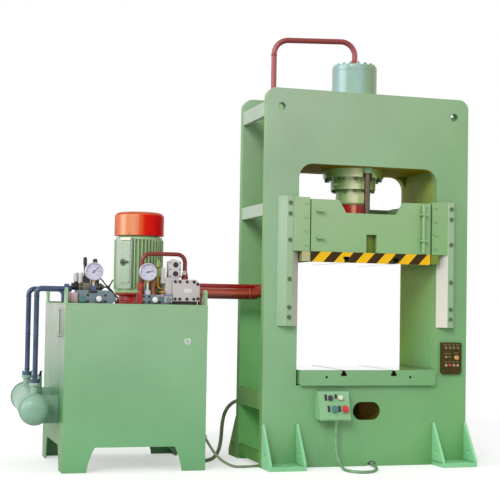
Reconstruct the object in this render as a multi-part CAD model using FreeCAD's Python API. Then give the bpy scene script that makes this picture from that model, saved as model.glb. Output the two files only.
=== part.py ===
import FreeCAD, Part
import math
import os

from FreeCAD import Vector

# Frame-type hydraulic press with its power unit standing on the left.
# Millimetres. The ram's axis is x = 0, y = 0. The floor is z = 0, the front is -Y.

# ---------------------------------------------------------------- driving sizes, press frame
FRAME_WIDTH = 1600.0
FRAME_HEIGHT = 2730.0
FRAME_DEPTH = 650.0
PLATE = 65.0
PLATE_CORNER = 75.0
WINDOW_WIDTH = 1090.0
WINDOW_TOP = 2190.0
WINDOW_CORNER = 105.0
WEB = 25.0
WEB_FOOT = 60.0
CROWN_BOTTOM = 60.0
CROWN_TOP = 40.0
LIFT_HOLE = 60.0
LIFT_HOLE_X = 684.0
LIFT_HOLE_Z = 2593.0
BED_HOLE_WIDTH = 212.0
BED_HOLE_HEIGHT = 130.0
BED_HOLE_Z = 400.0
CABLE_NOTCH_X = 46.0
CABLE_NOTCH_R = 36.0
TIE_BAR = 40.0
TIE_BARS = [(30.0, 80.0), (412.0, 126.0), (1804.0, 90.0), (2526.0, 104.0)]

TABLE_TOP = 700.0
TABLE_THICK = 112.0
TABLE_WIDTH = 1064.0
TABLE_DEPTH = 730.0
T_SLOT_X = 196.0
T_NECK = 26.0
T_HEAD = 44.0
T_NECK_DEEP = 24.0
T_HEAD_DEEP = 20.0
BED_PLATE = 60.0
BED_RIB_X = 180.0
BED_RIB = 30.0

# ---------------------------------------------------------------- driving sizes, feet
FOOT_OUT = 190.0
FOOT_WIDTH = 276.0
FOOT_SOLE = 32.0
GUSSET = 20.0
GUSSET_TOP = 311.0
ANCHOR_HOLE = 30.0
ANCHOR_OUT = 105.0

# ---------------------------------------------------------------- driving sizes, guides and slide
GIB_LOW = 1013.0
GIB_HIGH = 1945.0
GIB_STAND = 66.0
GIB_FACE = 44.0
GIB_SLOPE = 48.0
GIB_GAP = 0.5
GIB_SCREWS = [1077.0, 1148.0, 1350.0, 1630.0, 1818.0, 1895.0]
SLIDE_LOW = 1476.0
BOLSTER = 76.0
SLIDE_HALF = 470.0
SLIDE_DEPTH = 764.0
SLIDE_PLATE = 40.0
SLIDE_TOP = 1930.0
NOTCH_TOP = 255.0
NOTCH_LOW = 200.0
NOTCH_Z = 1838.0
HUB_TOP = 1780.0
HUB = 60.0
EAR_OUT = 532.0
EAR_Y = 330.0
SHOE_TOP = 1940.0
SHOE_FRONT = 388.0
SHOE_GAP = 10.0
SHOE_SCREWS = [1600.0, 1700.0, 1800.0, 1900.0]
STROKE = 480.0
TRIP_ROD = 27.0
CLIP_X = 406.0
CLIP_HEIGHTS = [1650.0, 1845.0]

# ---------------------------------------------------------------- driving sizes, cylinder
BARREL = 342.0
BARREL_BORE = 280.0
BARREL_LOW = 2038.0
BARREL_NECK = 90.0
BARREL_HIGH = 2940.0
CAP = 45.0
FLANGE = 460.0
FLANGE_THICK = 65.0
GLAND = 262.0
GLAND_THICK = 112.0
RAM = 225.0
PISTON = 100.0
SEAL_GAP = 0.4
ROD = 44.0
ROD_X = 25.0
ROD_Y = -222.0
ROD_COLLAR = 78.0
ROD_COLLAR_THICK = 40.0

# ---------------------------------------------------------------- driving sizes, power unit
TANK_X0 = -2218.0
TANK_X1 = -1218.0
TANK_Y0 = -350.0
TANK_Y1 = 650.0
TANK_LOW = 170.0
TANK_HIGH = 1140.0
TANK_WALL = 8.0
COVER = 12.0
LEG_FOOT = 166.0
LEG_HEAD = 222.0
MOTOR_X = -1626.0
MOTOR_Y = 100.0
MOTOR_R = 178.0
MOTOR_CORE = 154.0
MOTOR_FINS = 42
MOTOR_LOW = 1232.0
MOTOR_HIGH = 1633.0
COWL_R = 179.0
COWL_HIGH = 1815.0
COOLER_X = -2388.0
COOLER_Z = 444.0
COOLER_SLOPE = 0.1
COOLER_MIDDLE = 75.0
COOLER_R = 102.0
COOLER_LONG = 550.0
COOLER_PORTS = {-150.0: 600.0, 300.0: 628.0}
SADDLES = [-90.0, 240.0]

DECK = TANK_HIGH + COVER
HALF = FRAME_WIDTH / 2
FRONT = FRAME_DEPTH / 2
INSIDE = FRONT - PLATE
WINDOW_HALF = WINDOW_WIDTH / 2
TABLE_LOW = TABLE_TOP - TABLE_THICK

X = Vector(1, 0, 0)
Y = Vector(0, 1, 0)
Z = Vector(0, 0, 1)


# ---------------------------------------------------------------- small shape helpers
def block(x0, x1, y0, y1, z0, z1):
    return Part.makeBox(x1 - x0, y1 - y0, z1 - z0, Vector(x0, y0, z0))


def drum(start, diameter, length, axis=Z):
    return Part.makeCylinder(diameter / 2, length, Vector(*start), axis)


def prism(points, along):
    wire = Part.makePolygon([Vector(*p) for p in points + points[:1]])
    return Part.Face(wire).extrude(Vector(*along))


def hex_head(start, across, height, axis=Z):
    turn = FreeCAD.Rotation(Z, axis)
    radius = across / math.sqrt(3)
    ring = []
    for i in range(6):
        angle = math.radians(60 * i)
        flat = Vector(radius * math.cos(angle), radius * math.sin(angle), 0)
        ring.append(Vector(*start) + turn.multVec(flat))
    return Part.Face(Part.makePolygon(ring + ring[:1])).extrude(axis * height)


def fused(shapes):
    whole = shapes[0].fuse(shapes[1:]) if len(shapes) > 1 else shapes[0]
    return whole.removeSplitter()


def cut_all(body, tools):
    for tool in tools:
        body = body.cut(tool)
    return body


def lathe(profile, axis_point=(0, 0, 0), axis=Z):
    # profile: (radius, height) pairs on the XZ plane, turned about Z, then laid along axis
    wire = Part.makePolygon([Vector(r, 0, h) for r, h in profile + profile[:1]])
    solid = Part.Face(wire).revolve(Vector(0, 0, 0), Z, 360)
    solid.Placement = FreeCAD.Placement(Vector(*axis_point), FreeCAD.Rotation(Z, axis))
    return solid


def rounded_path(points, radii):
    # straight runs joined by tangent arcs, one radius for each inner point
    points = [Vector(*p) for p in points]
    edges = []
    start = points[0]
    for before, corner, after, radius in zip(points, points[1:], points[2:], radii):
        into = (corner - before).normalize()
        out = (after - corner).normalize()
        turn = into.getAngle(out)
        back = radius * math.tan(turn / 2)
        first = corner - into * back
        last = corner + out * back
        inward = (out - into).normalize()
        middle = corner + inward * (radius / math.cos(turn / 2) - radius)
        edges.append(Part.LineSegment(start, first).toShape())
        edges.append(Part.Arc(first, middle, last).toShape())
        start = last
    edges.append(Part.LineSegment(start, points[-1]).toShape())
    return Part.Wire(edges)


def pipe(points, radii, diameter):
    path = rounded_path(points, radii)
    heading = Vector(*points[1]) - Vector(*points[0])
    ring = Part.Wire(Part.makeCircle(diameter / 2, Vector(*points[0]), heading))
    return path.makePipeShell([ring], True, False)


def conduit(name, points, diameter):
    # each bend is as wide as its two runs allow
    radii = []
    vectors = [Vector(*p) for p in points]
    for before, corner, after in zip(vectors, vectors[1:], vectors[2:]):
        turn = (corner - before).getAngle(after - corner)
        run = min((corner - before).Length, (after - corner).Length)
        radii.append(0.45 * run / math.tan(turn / 2))
    print(name, "bend radii", [round(r) for r in radii])
    solid = pipe(points, radii, diameter)
    length = rounded_path(points, radii).Length
    section = math.pi * diameter ** 2 / 4
    print(name, "length", round(length), "volume ratio", round(solid.Volume / (section * length), 4))
    return solid


# ---------------------------------------------------------------- press frame
def profile_plate():
    """One flame-cut side plate of the frame, window and bed hole cut through."""
    plate = block(-HALF, HALF, 0, PLATE, 0, FRAME_HEIGHT)
    tops = [e for e in plate.Edges if e.BoundBox.ZMin > FRAME_HEIGHT - 1 and e.BoundBox.XLength < 1]
    plate = plate.makeFillet(PLATE_CORNER, tops)
    window = block(-WINDOW_HALF, WINDOW_HALF, -1, PLATE + 1, TABLE_LOW, WINDOW_TOP)
    heads = [e for e in window.Edges if e.BoundBox.ZMin > WINDOW_TOP - 1 and e.BoundBox.XLength < 1]
    window = window.makeFillet(WINDOW_CORNER, heads)
    r = BED_HOLE_HEIGHT / 2
    half = BED_HOLE_WIDTH / 2 - r
    slot = [block(-half, half, -1, PLATE + 1, BED_HOLE_Z - r, BED_HOLE_Z + r)]
    for side in (-1, 1):
        slot.append(drum((side * half, -1, BED_HOLE_Z), 2 * r, PLATE + 2, Y))
    holes = [drum((s * LIFT_HOLE_X, -1, LIFT_HOLE_Z), LIFT_HOLE, PLATE + 2, Y) for s in (-1, 1)]
    return cut_all(plate, [window, fused(slot)] + holes)


def front_frame_plate():
    plate = profile_plate()
    plate.translate(Vector(0, -FRONT, 0))
    notch = drum((CABLE_NOTCH_X, -FRONT - 1, 0), 2 * CABLE_NOTCH_R, PLATE + 2, Y)
    return plate.cut(notch)


def rear_frame_plate():
    plate = profile_plate()
    plate.translate(Vector(0, INSIDE, 0))
    x, y, z = POWER_ROUTE[0]
    elbow = [drum((x, y, z), ELBOW_GLAND, ELBOW_REACH, X)]
    elbow.append(drum((x + ELBOW_REACH, FRONT, z), ELBOW_GLAND, y + ELBOW_GLAND / 2 - FRONT, Y))
    return fused([plate] + elbow)


def column_web(side):
    x = sorted((side * WINDOW_HALF, side * (WINDOW_HALF + WEB)))
    web = block(x[0], x[1], -INSIDE, INSIDE, WEB_FOOT, FRAME_HEIGHT - CROWN_TOP)
    if side < 0:
        start = RETURN_HEADING * 500 + Z * RETURN_Z
        web = web.cut(drum(start, RETURN_PIPE + 4, 200, RETURN_HEADING))
        web = fused([web, drum(SIGNAL_ROUTE[-1], WEB_GLAND, WEB_GLAND_OUT, X)])
    return web


def crown_bottom_plate():
    plate = block(-WINDOW_HALF, WINDOW_HALF, -INSIDE, INSIDE, WINDOW_TOP, WINDOW_TOP + CROWN_BOTTOM)
    collar = drum((ROD_X, ROD_Y, WINDOW_TOP - ROD_COLLAR_THICK), ROD_COLLAR, ROD_COLLAR_THICK)
    barrel = drum((0, 0, WINDOW_TOP - FLANGE_THICK), BARREL, 2 * FLANGE_THICK)
    rod = drum((ROD_X, ROD_Y, WINDOW_TOP - 50), ROD + 0.16, 2 * CROWN_BOTTOM)
    return cut_all(fused([plate, collar]), [barrel, rod])


def crown_top_plate():
    half = WINDOW_HALF + WEB
    plate = block(-half, half, -INSIDE, INSIDE, FRAME_HEIGHT - CROWN_TOP, FRAME_HEIGHT)
    return plate.cut(drum((0, 0, FRAME_HEIGHT - CROWN_TOP - 1), BARREL, CROWN_TOP + 2))


def column_tie_bars():
    bars = []
    for side in (-1, 1):
        x = sorted((side * HALF, side * (HALF - TIE_BAR)))
        for low, tall in TIE_BARS:
            bars.append(block(x[0], x[1], -INSIDE, INSIDE, low, low + tall))
    return Part.makeCompound(bars)


def bed_box():
    """The table's support: a heavy plate between the webs, on two ribs."""
    plate = block(-WINDOW_HALF, WINDOW_HALF, -INSIDE, INSIDE, TABLE_LOW - BED_PLATE, TABLE_LOW)
    ribs = []
    for side in (-1, 1):
        x = side * BED_RIB_X
        ribs.append(block(x - BED_RIB / 2, x + BED_RIB / 2, -INSIDE, INSIDE, 0, TABLE_LOW - BED_PLATE))
    gland_x = BED_RIB_X - BED_RIB / 2 - RIB_GLAND_OUT
    ribs.append(drum((gland_x, BOX_ROUTE[-1][1], BOX_ROUTE[-1][2]), 29, RIB_GLAND_OUT, X))
    return fused([plate] + ribs)


def t_slot(x, top, reach):
    neck = block(x - T_NECK / 2, x + T_NECK / 2, -reach, reach, top - T_NECK_DEEP, top + 1)
    low = top - T_NECK_DEEP - T_HEAD_DEEP
    head = block(x - T_HEAD / 2, x + T_HEAD / 2, -reach, reach, low, top - T_NECK_DEEP)
    return neck.fuse(head)


def table():
    slab = block(-TABLE_WIDTH / 2, TABLE_WIDTH / 2, -TABLE_DEPTH / 2, TABLE_DEPTH / 2, TABLE_LOW, TABLE_TOP)
    low = [e for e in slab.Edges if e.BoundBox.ZMax < TABLE_LOW + 1 and e.BoundBox.XLength < 1]
    slab = slab.makeChamfer(12, low)
    slots = [t_slot(s * T_SLOT_X, TABLE_TOP, TABLE_DEPTH / 2 + 1) for s in (-1, 1)]
    taps = [drum((s * 328, -TABLE_DEPTH / 2 - 1, TABLE_TOP - 52), 20, 41, Y) for s in (-1, 1)]
    return cut_all(slab, slots + taps)


def foot(side, end):
    """A welded foot: sole plate and two drilled gussets; side is the X sign, end the Y sign."""
    inner = HALF - FOOT_WIDTH
    sole = block(inner, HALF, FRONT, FRONT + FOOT_OUT, 0, FOOT_SOLE)
    sole = sole.cut(drum((HALF - FOOT_WIDTH / 2, FRONT + ANCHOR_OUT, -1), ANCHOR_HOLE, FOOT_SOLE + 2))
    pieces = [sole]
    for x in (inner, HALF - GUSSET):
        outline = [
            (x, FRONT, FOOT_SOLE),
            (x, FRONT + FOOT_OUT, FOOT_SOLE),
            (x, FRONT + FOOT_OUT, FOOT_SOLE + 14),
            (x, FRONT + 12, GUSSET_TOP),
            (x, FRONT, GUSSET_TOP),
        ]
        gusset = prism(outline, (GUSSET, 0, 0))
        pieces.append(gusset.cut(drum((x - 1, FRONT + 78, 100), 30, GUSSET + 2, X)))
    whole = fused(pieces)
    if end < 0:
        whole = whole.mirror(Vector(0, 0, 0), Y)
    if side < 0:
        whole = whole.mirror(Vector(0, 0, 0), X)
    return whole


# ---------------------------------------------------------------- guides
def four_corners(shape):
    """A front right piece and its three mirror images."""
    left = shape.mirror(Vector(0, 0, 0), X)
    back = shape.mirror(Vector(0, 0, 0), Y)
    return Part.makeCompound([shape, left, back, left.mirror(Vector(0, 0, 0), Y)])


def guide_gibs():
    """Upright guide bars: a 45 degree machined face towards the slide, a flat, and a sloped back."""
    x = WINDOW_HALF
    outline = [
        (x, -FRONT, GIB_LOW),
        (x + GIB_STAND, -FRONT - GIB_STAND, GIB_LOW),
        (x + GIB_STAND + GIB_FACE, -FRONT - GIB_STAND, GIB_LOW),
        (x + GIB_STAND + GIB_FACE + GIB_SLOPE, -FRONT, GIB_LOW),
    ]
    return four_corners(prism(outline, (0, 0, GIB_HIGH - GIB_LOW)))


def frame_screws():
    """Hexagon heads of the gibs, the cylinder's flange, its foot ring and its cap."""
    heads = []
    gib_x = WINDOW_HALF + GIB_STAND + GIB_FACE / 2
    for end in (-1, 1):
        for side in (-1, 1):
            for z in GIB_SCREWS:
                start = (side * gib_x, end * (FRONT + GIB_STAND), z)
                heads.append(hex_head(start, 27, 12, Y * end))
    rod_angle = math.degrees(math.atan2(ROD_Y, ROD_X))
    for i in range(10):
        angle = math.radians(rod_angle + 20 + 320 / 9 * i)
        r = FLANGE / 2 - 30
        start = (r * math.cos(angle), r * math.sin(angle), WINDOW_TOP - FLANGE_THICK)
        heads.append(hex_head(start, 36, 22, Z * -1))
    for i in range(12):
        angle = math.radians(30 * (i + 0.5))
        r = GLAND / 2 + 20
        start = (r * math.cos(angle), r * math.sin(angle), BARREL_LOW)
        heads.append(hex_head(start, 27, 16, Z * -1))
    for i in range(16):
        angle = math.radians(22.5 * (i + 0.5))
        r = BARREL / 2 - 26
        start = (r * math.cos(angle), r * math.sin(angle), BARREL_HIGH + CAP)
        heads.append(hex_head(start, 24, 13, Z))
    return Part.makeCompound(heads)


# ---------------------------------------------------------------- cylinder
def cylinder_barrel():
    neck = BARREL_LOW + BARREL_NECK
    flange_low = WINDOW_TOP - FLANGE_THICK
    r = BARREL / 2
    inner = RAM / 2 + SEAL_GAP
    bore = BARREL_BORE / 2
    barrel = lathe([
        (inner, BARREL_LOW),
        (r, BARREL_LOW),
        (r, flange_low),
        (FLANGE / 2, flange_low),
        (FLANGE / 2, WINDOW_TOP),
        (r, WINDOW_TOP),
        (r, BARREL_HIGH),
        (bore, BARREL_HIGH),
        (bore, neck),
        (inner, neck),
    ])
    core = drum((0, 0, 0), 2 * bore + 20, BARREL_HIGH)
    start = RETURN_HEADING * (bore + 5) + Z * RETURN_Z
    port = drum(start, RETURN_PIPE + 34, PORT_REACH - bore - 5, RETURN_HEADING)
    bleed = drum((-r - 25, -60, BARREL_LOW + 40), 30, 60, X)
    half = ROD_COLLAR / 2 + 1
    relief = block(ROD_X - half, ROD_X + half, -FLANGE, ROD_Y + half, flange_low - 1, WINDOW_TOP)
    return fused([barrel.cut(relief), port.cut(core), bleed.cut(core)])


def cylinder_cap():
    r = BARREL / 2
    low = BARREL_HIGH
    top = BARREL_HIGH + CAP
    return lathe([
        (0, low),
        (r, low),
        (r, top - 13),
        (r - 4, top - 4),
        (r - 12, top),
        (52, top),
        (46, top + 20),
        (0, top + 20),
    ])


def gland_ring():
    low = BARREL_LOW - GLAND_THICK
    inner = RAM / 2 + SEAL_GAP
    r = GLAND / 2
    return lathe([
        (inner, low),
        (r - 14, low),
        (r - 4, low + 8),
        (r, low + 24),
        (r, BARREL_LOW),
        (inner, BARREL_LOW),
    ])


# ---------------------------------------------------------------- what moves with the slide
def ram():
    r = RAM / 2
    head = BARREL_BORE / 2 - SEAL_GAP
    top = BARREL_HIGH - 10
    return lathe([(0, HUB_TOP), (r, HUB_TOP), (r, top - PISTON), (head, top - PISTON), (head, top), (0, top)])


def position_rod():
    rod = drum((ROD_X, ROD_Y, HUB_TOP), ROD, WINDOW_TOP + STROKE + 8 - HUB_TOP)
    return rod.fuse(drum((ROD_X, ROD_Y, HUB_TOP), ROD + 24, 30)).removeSplitter()


def notched_plate(y0, y1):
    outline = [
        (-SLIDE_HALF, y0, SLIDE_LOW + BOLSTER),
        (SLIDE_HALF, y0, SLIDE_LOW + BOLSTER),
        (SLIDE_HALF, y0, SLIDE_TOP),
        (NOTCH_TOP, y0, SLIDE_TOP),
        (NOTCH_LOW, y0, NOTCH_Z),
        (-NOTCH_LOW, y0, NOTCH_Z),
        (-NOTCH_TOP, y0, SLIDE_TOP),
        (-SLIDE_HALF, y0, SLIDE_TOP),
    ]
    return prism(outline, (0, y1 - y0, 0))


def slide_body():
    """Welded box of the slide, with ears that carry the guide shoes."""
    low = SLIDE_LOW + BOLSTER
    half = SLIDE_DEPTH / 2
    front = notched_plate(-half, -half + SLIDE_PLATE)
    keyway = block(-40, 40, -half - 1, -half + SLIDE_PLATE + 1, low - 1, 1685)
    pieces = [front.cut(keyway), notched_plate(half - SLIDE_PLATE, half)]
    pieces.append(block(-SLIDE_HALF, SLIDE_HALF, -half + 1, half - 1, HUB_TOP - HUB, HUB_TOP))
    for side in (-1, 1):
        x = sorted((side * SLIDE_HALF, side * (SLIDE_HALF - SLIDE_PLATE)))
        pieces.append(block(x[0], x[1], -half + 1, half - 1, low, SLIDE_TOP))
        x = sorted((side * SLIDE_HALF, side * EAR_OUT))
        for y in sorted((-EAR_Y, EAR_Y - SLIDE_PLATE)):
            pieces.append(block(x[0], x[1], y, y + SLIDE_PLATE, low, SHOE_TOP))
        pieces.append(block(x[0], x[0] + EAR_OUT - SLIDE_HALF, -EAR_Y, EAR_Y, HUB_TOP - HUB, HUB_TOP))
    return fused(pieces)


def slide_bolster():
    half = SLIDE_DEPTH / 2
    slab = block(-SLIDE_HALF, SLIDE_HALF, -half, half, SLIDE_LOW, SLIDE_LOW + BOLSTER)
    slots = []
    for side in (-1, 1):
        slot = t_slot(side * T_SLOT_X, 0, half + 1)
        slot = slot.mirror(Vector(0, 0, 0), Z)
        slot.translate(Vector(0, 0, SLIDE_LOW))
        slots.append(slot)
    return cut_all(slab, slots)


def guide_shoes():
    """Corner shoes: their 45 degree faces run on the gibs."""
    inner = SLIDE_HALF + SHOE_GAP
    near = WINDOW_HALF + (EAR_Y - FRONT) - GIB_GAP * math.sqrt(2)
    far = WINDOW_HALF + (SHOE_FRONT - FRONT) - GIB_GAP * math.sqrt(2)
    low = SLIDE_LOW + BOLSTER
    outline = [
        (inner, -EAR_Y, low),
        (inner, -SHOE_FRONT, low),
        (far, -SHOE_FRONT, low),
        (near, -EAR_Y, low),
    ]
    heads = [hex_head((SLIDE_HALF + 38, -SHOE_FRONT, z), 22, 9, Y * -1) for z in SHOE_SCREWS]
    return four_corners(fused([prism(outline, (0, 0, SHOE_TOP - low))] + heads))


def trip_rod():
    """The upright rod that trips the stroke switches, and the four clips on the slide's face."""
    face = -SLIDE_DEPTH / 2
    pieces = []
    for x in (-CLIP_X, CLIP_X):
        for z in CLIP_HEIGHTS:
            pieces.append(block(x - 27, x + 27, face - 36, face, z - 7, z + 7))
    right = drum((CLIP_X, face - 18, SLIDE_LOW + BOLSTER + 6), TRIP_ROD, SLIDE_TOP - SLIDE_LOW - BOLSTER - 20)
    return Part.makeCompound([fused([right] + pieces[2:]), pieces[0], pieces[1]])


# ---------------------------------------------------------------- push-button box
BOX_X0 = -400.0
BOX_X1 = -165.0
BOX_LOW = 345.0
BOX_HIGH = 548.0
BOX_TOP_OUT = 62.0
BOX_LOW_OUT = 122.0
BOX_LEAN = math.degrees(math.atan2(BOX_LOW_OUT - BOX_TOP_OUT, BOX_HIGH - BOX_LOW))
BOX_BUTTONS = {
    "black_button": (-318.0, 52.0, 42.0),
    "cream_button": (-240.0, 52.0, 38.0),
    "green_button": (-292.0, 134.0, 54.0),
    "red_stop_button": (-210.0, 134.0, 56.0),
}
BUTTON_STEM = 20.0
BUTTON_TRAVEL = 6.0


def on_box_face(shape, x, down):
    """Moves a shape made about the origin, pointing along -Y, onto the leaning face."""
    turn = FreeCAD.Rotation(X, -BOX_LEAN)
    corner = Vector(x, -FRONT - BOX_TOP_OUT, BOX_HIGH)
    slope = turn.multVec(Vector(0, 0, -down))
    shape.Placement = FreeCAD.Placement(corner + slope, turn).multiply(shape.Placement)
    return shape


def button_box():
    outline = [
        (BOX_X0, -FRONT, BOX_LOW),
        (BOX_X0, -FRONT - BOX_LOW_OUT, BOX_LOW),
        (BOX_X0, -FRONT - BOX_TOP_OUT, BOX_HIGH),
        (BOX_X0, -FRONT, BOX_HIGH),
    ]
    case = prism(outline, (BOX_X1 - BOX_X0, 0, 0))
    case = case.fuse(drum(BOX_ROUTE[0], 36, BOX_LOW - BOX_ROUTE[0][2]))
    for x, down, head in BOX_BUTTONS.values():
        bezel = drum((0, 0, 0), 36, 8, Y * -1)
        case = case.fuse(on_box_face(bezel, x, down))
    for x, down, head in BOX_BUTTONS.values():
        hole = drum((0, 26, 0), BUTTON_STEM + 0.8, 40, Y * -1)
        case = case.cut(on_box_face(hole, x, down))
    return case.removeSplitter()


def box_button(name):
    x, down, head = BOX_BUTTONS[name]
    out = 8 + BUTTON_TRAVEL + 2
    profile = [
        (0, -14),
        (BUTTON_STEM / 2, -14),
        (BUTTON_STEM / 2, out),
        (head / 2 - 3, out),
        (head / 2, out + 4),
        (head / 2 - 3, out + 13),
        (0, out + 18),
    ]
    return on_box_face(lathe(profile, (0, 0, 0), Y * -1), x, down)


# ---------------------------------------------------------------- control panel on the right column
PANEL_X0 = 585.0
PANEL_X1 = 749.0
PANEL_LOW = 668.0
PANEL_HIGH = 904.0
PANEL_OUT = 25.0
PANEL_ROW = 735.0
PANEL_BUTTONS = {"white_button_left": 620.0, "red_button": 651.0, "white_button_right": 683.0}


def control_panel():
    face = -FRONT - PANEL_OUT
    outline = [
        (PANEL_X0 + 14, face, PANEL_LOW),
        (PANEL_X1 - 14, face, PANEL_LOW),
        (PANEL_X1, face, PANEL_LOW + 14),
        (PANEL_X1, face, PANEL_HIGH),
        (PANEL_X0, face, PANEL_HIGH),
        (PANEL_X0, face, PANEL_LOW + 14),
    ]
    case = prism(outline, (0, PANEL_OUT, 0))
    for x in PANEL_BUTTONS.values():
        case = case.cut(drum((x, face + 18, PANEL_ROW), 12.8, 30, Y * -1))
    return case


def panel_lamps():
    face = -FRONT - PANEL_OUT
    lamps = []
    for x in (618, 650, 682, 716):
        lamps.append(drum((x, face, 864), 22, 12, Y * -1))
    lamps.append(drum((620, face, 796), 16, 10, Y * -1))
    lamps.append(drum((648, face, 796), 16, 10, Y * -1))
    lamps.append(drum((703, face, 792), 36, 16, Y * -1))
    lamps.append(drum((714, face, PANEL_ROW), 20, 10, Y * -1))
    return Part.makeCompound(lamps)


def panel_button(name):
    x = PANEL_BUTTONS[name]
    face = -FRONT - PANEL_OUT
    profile = [(0, -8), (6, -8), (6, 5), (11, 5), (11, 11), (9, 13), (0, 13)]
    return lathe(profile, (x, face, PANEL_ROW), Y * -1)


# ---------------------------------------------------------------- steel pipes
HEAD_PIPE = 42.0
HEAD_PIPE_Z = 1292.0
RISER_X = -598.0
RISER_Y = 150.0
TOP_RUN_Z = 3178.0
RETURN_PIPE = 82.0
RETURN_PIPE_Z = 1240.0
RETURN_RISER_X = -640.0
RETURN_Y = 60.0
RETURN_Z = 2440.0
RETURN_HEADING = Vector(RETURN_RISER_X, RETURN_Y, 0).normalize()
PORT_REACH = 215.0
PIPE_START_X = -1256.0


def head_pipe():
    route = [
        (PIPE_START_X, RISER_Y, HEAD_PIPE_Z),
        (RISER_X, RISER_Y, HEAD_PIPE_Z),
        (RISER_X, RISER_Y, TOP_RUN_Z),
        (0, 0, TOP_RUN_Z),
        (0, 0, BARREL_HIGH + CAP + 20),
    ]
    return pipe(route, [110, 108, 108], HEAD_PIPE)


def return_pipe():
    route = [
        (PIPE_START_X, RETURN_Y, RETURN_PIPE_Z),
        (RETURN_RISER_X, RETURN_Y, RETURN_PIPE_Z),
        (RETURN_RISER_X, RETURN_Y, RETURN_Z),
        RETURN_HEADING * PORT_REACH + Z * RETURN_Z,
    ]
    return pipe(route, [140, 70], RETURN_PIPE)


# ---------------------------------------------------------------- tank
def leg_plate():
    """One leg plate in the XZ plane, its inner edge swept in to the floor."""
    a = Vector(0, 0, 0)
    b = Vector(LEG_FOOT, 0, 0)
    c = Vector(LEG_HEAD, 0, TANK_LOW)
    d = Vector(0, 0, TANK_LOW)
    sweep = Part.Arc(b, Vector(LEG_FOOT + 20, 0, TANK_LOW * 0.52), c).toShape()
    edges = [Part.makeLine(a, b), sweep, Part.makeLine(c, d), Part.makeLine(d, a)]
    return Part.Face(Part.Wire(edges)).extrude(Vector(0, TANK_WALL, 0))


def slanted_gland(mouth, beyond, diameter, length):
    # a conduit's gland, in line with the conduit's first run
    inward = (Vector(*mouth) - Vector(*beyond)).normalize()
    return drum(mouth, diameter, length, inward)


def corner_leg(side, end):
    front = leg_plate()
    flank = leg_plate()
    flank.rotate(Vector(0, 0, 0), Z, 90)
    flank.translate(Vector(TANK_WALL, 0, 0))
    leg = front.fuse(flank)
    if side > 0:
        leg = leg.mirror(Vector(0, 0, 0), X)
    if end > 0:
        leg = leg.mirror(Vector(0, 0, 0), Y)
    x = TANK_X1 if side > 0 else TANK_X0
    y = TANK_Y1 if end > 0 else TANK_Y0
    leg.translate(Vector(x, y, 0))
    return leg


def tank():
    """Welded oil tank on four folded legs, with two slanted conduit glands."""
    shell = block(TANK_X0, TANK_X1, TANK_Y0, TANK_Y1, TANK_LOW, TANK_HIGH)
    w = TANK_WALL
    room = block(TANK_X0 + w, TANK_X1 - w, TANK_Y0 + w, TANK_Y1 - w, TANK_LOW + w, TANK_HIGH)
    pieces = [shell.cut(room)]
    for side in (-1, 1):
        for end in (-1, 1):
            pieces.append(corner_leg(side, end))
    pieces.append(slanted_gland(POWER_ROUTE[-1], POWER_ROUTE[-2], 44, 125))
    pieces.append(slanted_gland(SIGNAL_ROUTE[0], SIGNAL_ROUTE[1], 32, 50))
    return fused(pieces)


def tank_cover():
    plate = block(TANK_X0, TANK_X1, TANK_Y0, TANK_Y1, TANK_HIGH, DECK)
    pieces = [plate]
    for x in (TANK_X0 + 2, TANK_X1 - 18):
        for y in (TANK_Y0 + 6, TANK_Y1 - 86):
            lug = block(x, x + 16, y, y + 80, DECK, DECK + 106)
            top = [e for e in lug.Edges if e.BoundBox.ZMin > DECK + 105 and e.BoundBox.YLength < 1]
            lug = lug.makeFillet(36, top)
            pieces.append(lug.cut(drum((x - 1, y + 40, DECK + 66), 32, 18, X)))
    return fused(pieces)


def level_gauge():
    y = TANK_Y0 + 80
    x = TANK_X0
    pieces = [block(x - 16, x, y - 20, y + 20, 918, 1122)]
    for z in (930, 1110):
        pieces.append(drum((x - 40, y, z), 26, 30, X))
    pieces.append(drum((x - 32, y, 930), 20, 180))
    return fused(pieces)


# ---------------------------------------------------------------- pump motor
def fin_ring(count, inner, outer, share):
    """Outline of a finned round casting, each fin a narrow tooth."""
    points = []
    for i in range(count):
        middle = 2 * math.pi * i / count
        root = math.pi / count * 0.55
        tip = root * share
        for radius, angle in ((inner, -root), (outer, -tip), (outer, tip), (inner, root)):
            points.append(Vector(radius * math.cos(middle + angle), radius * math.sin(middle + angle), 0))
    return Part.Face(Part.makePolygon(points + points[:1]))


def pump_motor():
    """Vertical foot-flange motor: finned frame, end rings, tall terminal housing."""
    body = fin_ring(MOTOR_FINS, MOTOR_CORE, MOTOR_R, 0.6).extrude(Z * (MOTOR_HIGH - MOTOR_LOW - 44))
    body.translate(Vector(0, 0, MOTOR_LOW + 26))
    flange = drum((0, 0, MOTOR_LOW), 2 * 172, 26)
    ring = drum((0, 0, MOTOR_HIGH - 18), 2 * 168, 18)
    neck = drum((0, 0, MOTOR_HIGH), 2 * 148, 12)
    house = block(-66, 66, -MOTOR_R - 2, -110, MOTOR_LOW + 58, MOTOR_HIGH - 6)
    eye = drum((0, -MOTOR_R - 16, 1450), 44, 20, Y)
    house = house.fuse(eye)
    house.rotate(Vector(0, 0, 0), Z, -48)
    whole = fused([flange, body, ring, neck, house])
    whole.translate(Vector(MOTOR_X, MOTOR_Y, 0))
    return whole


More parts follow.
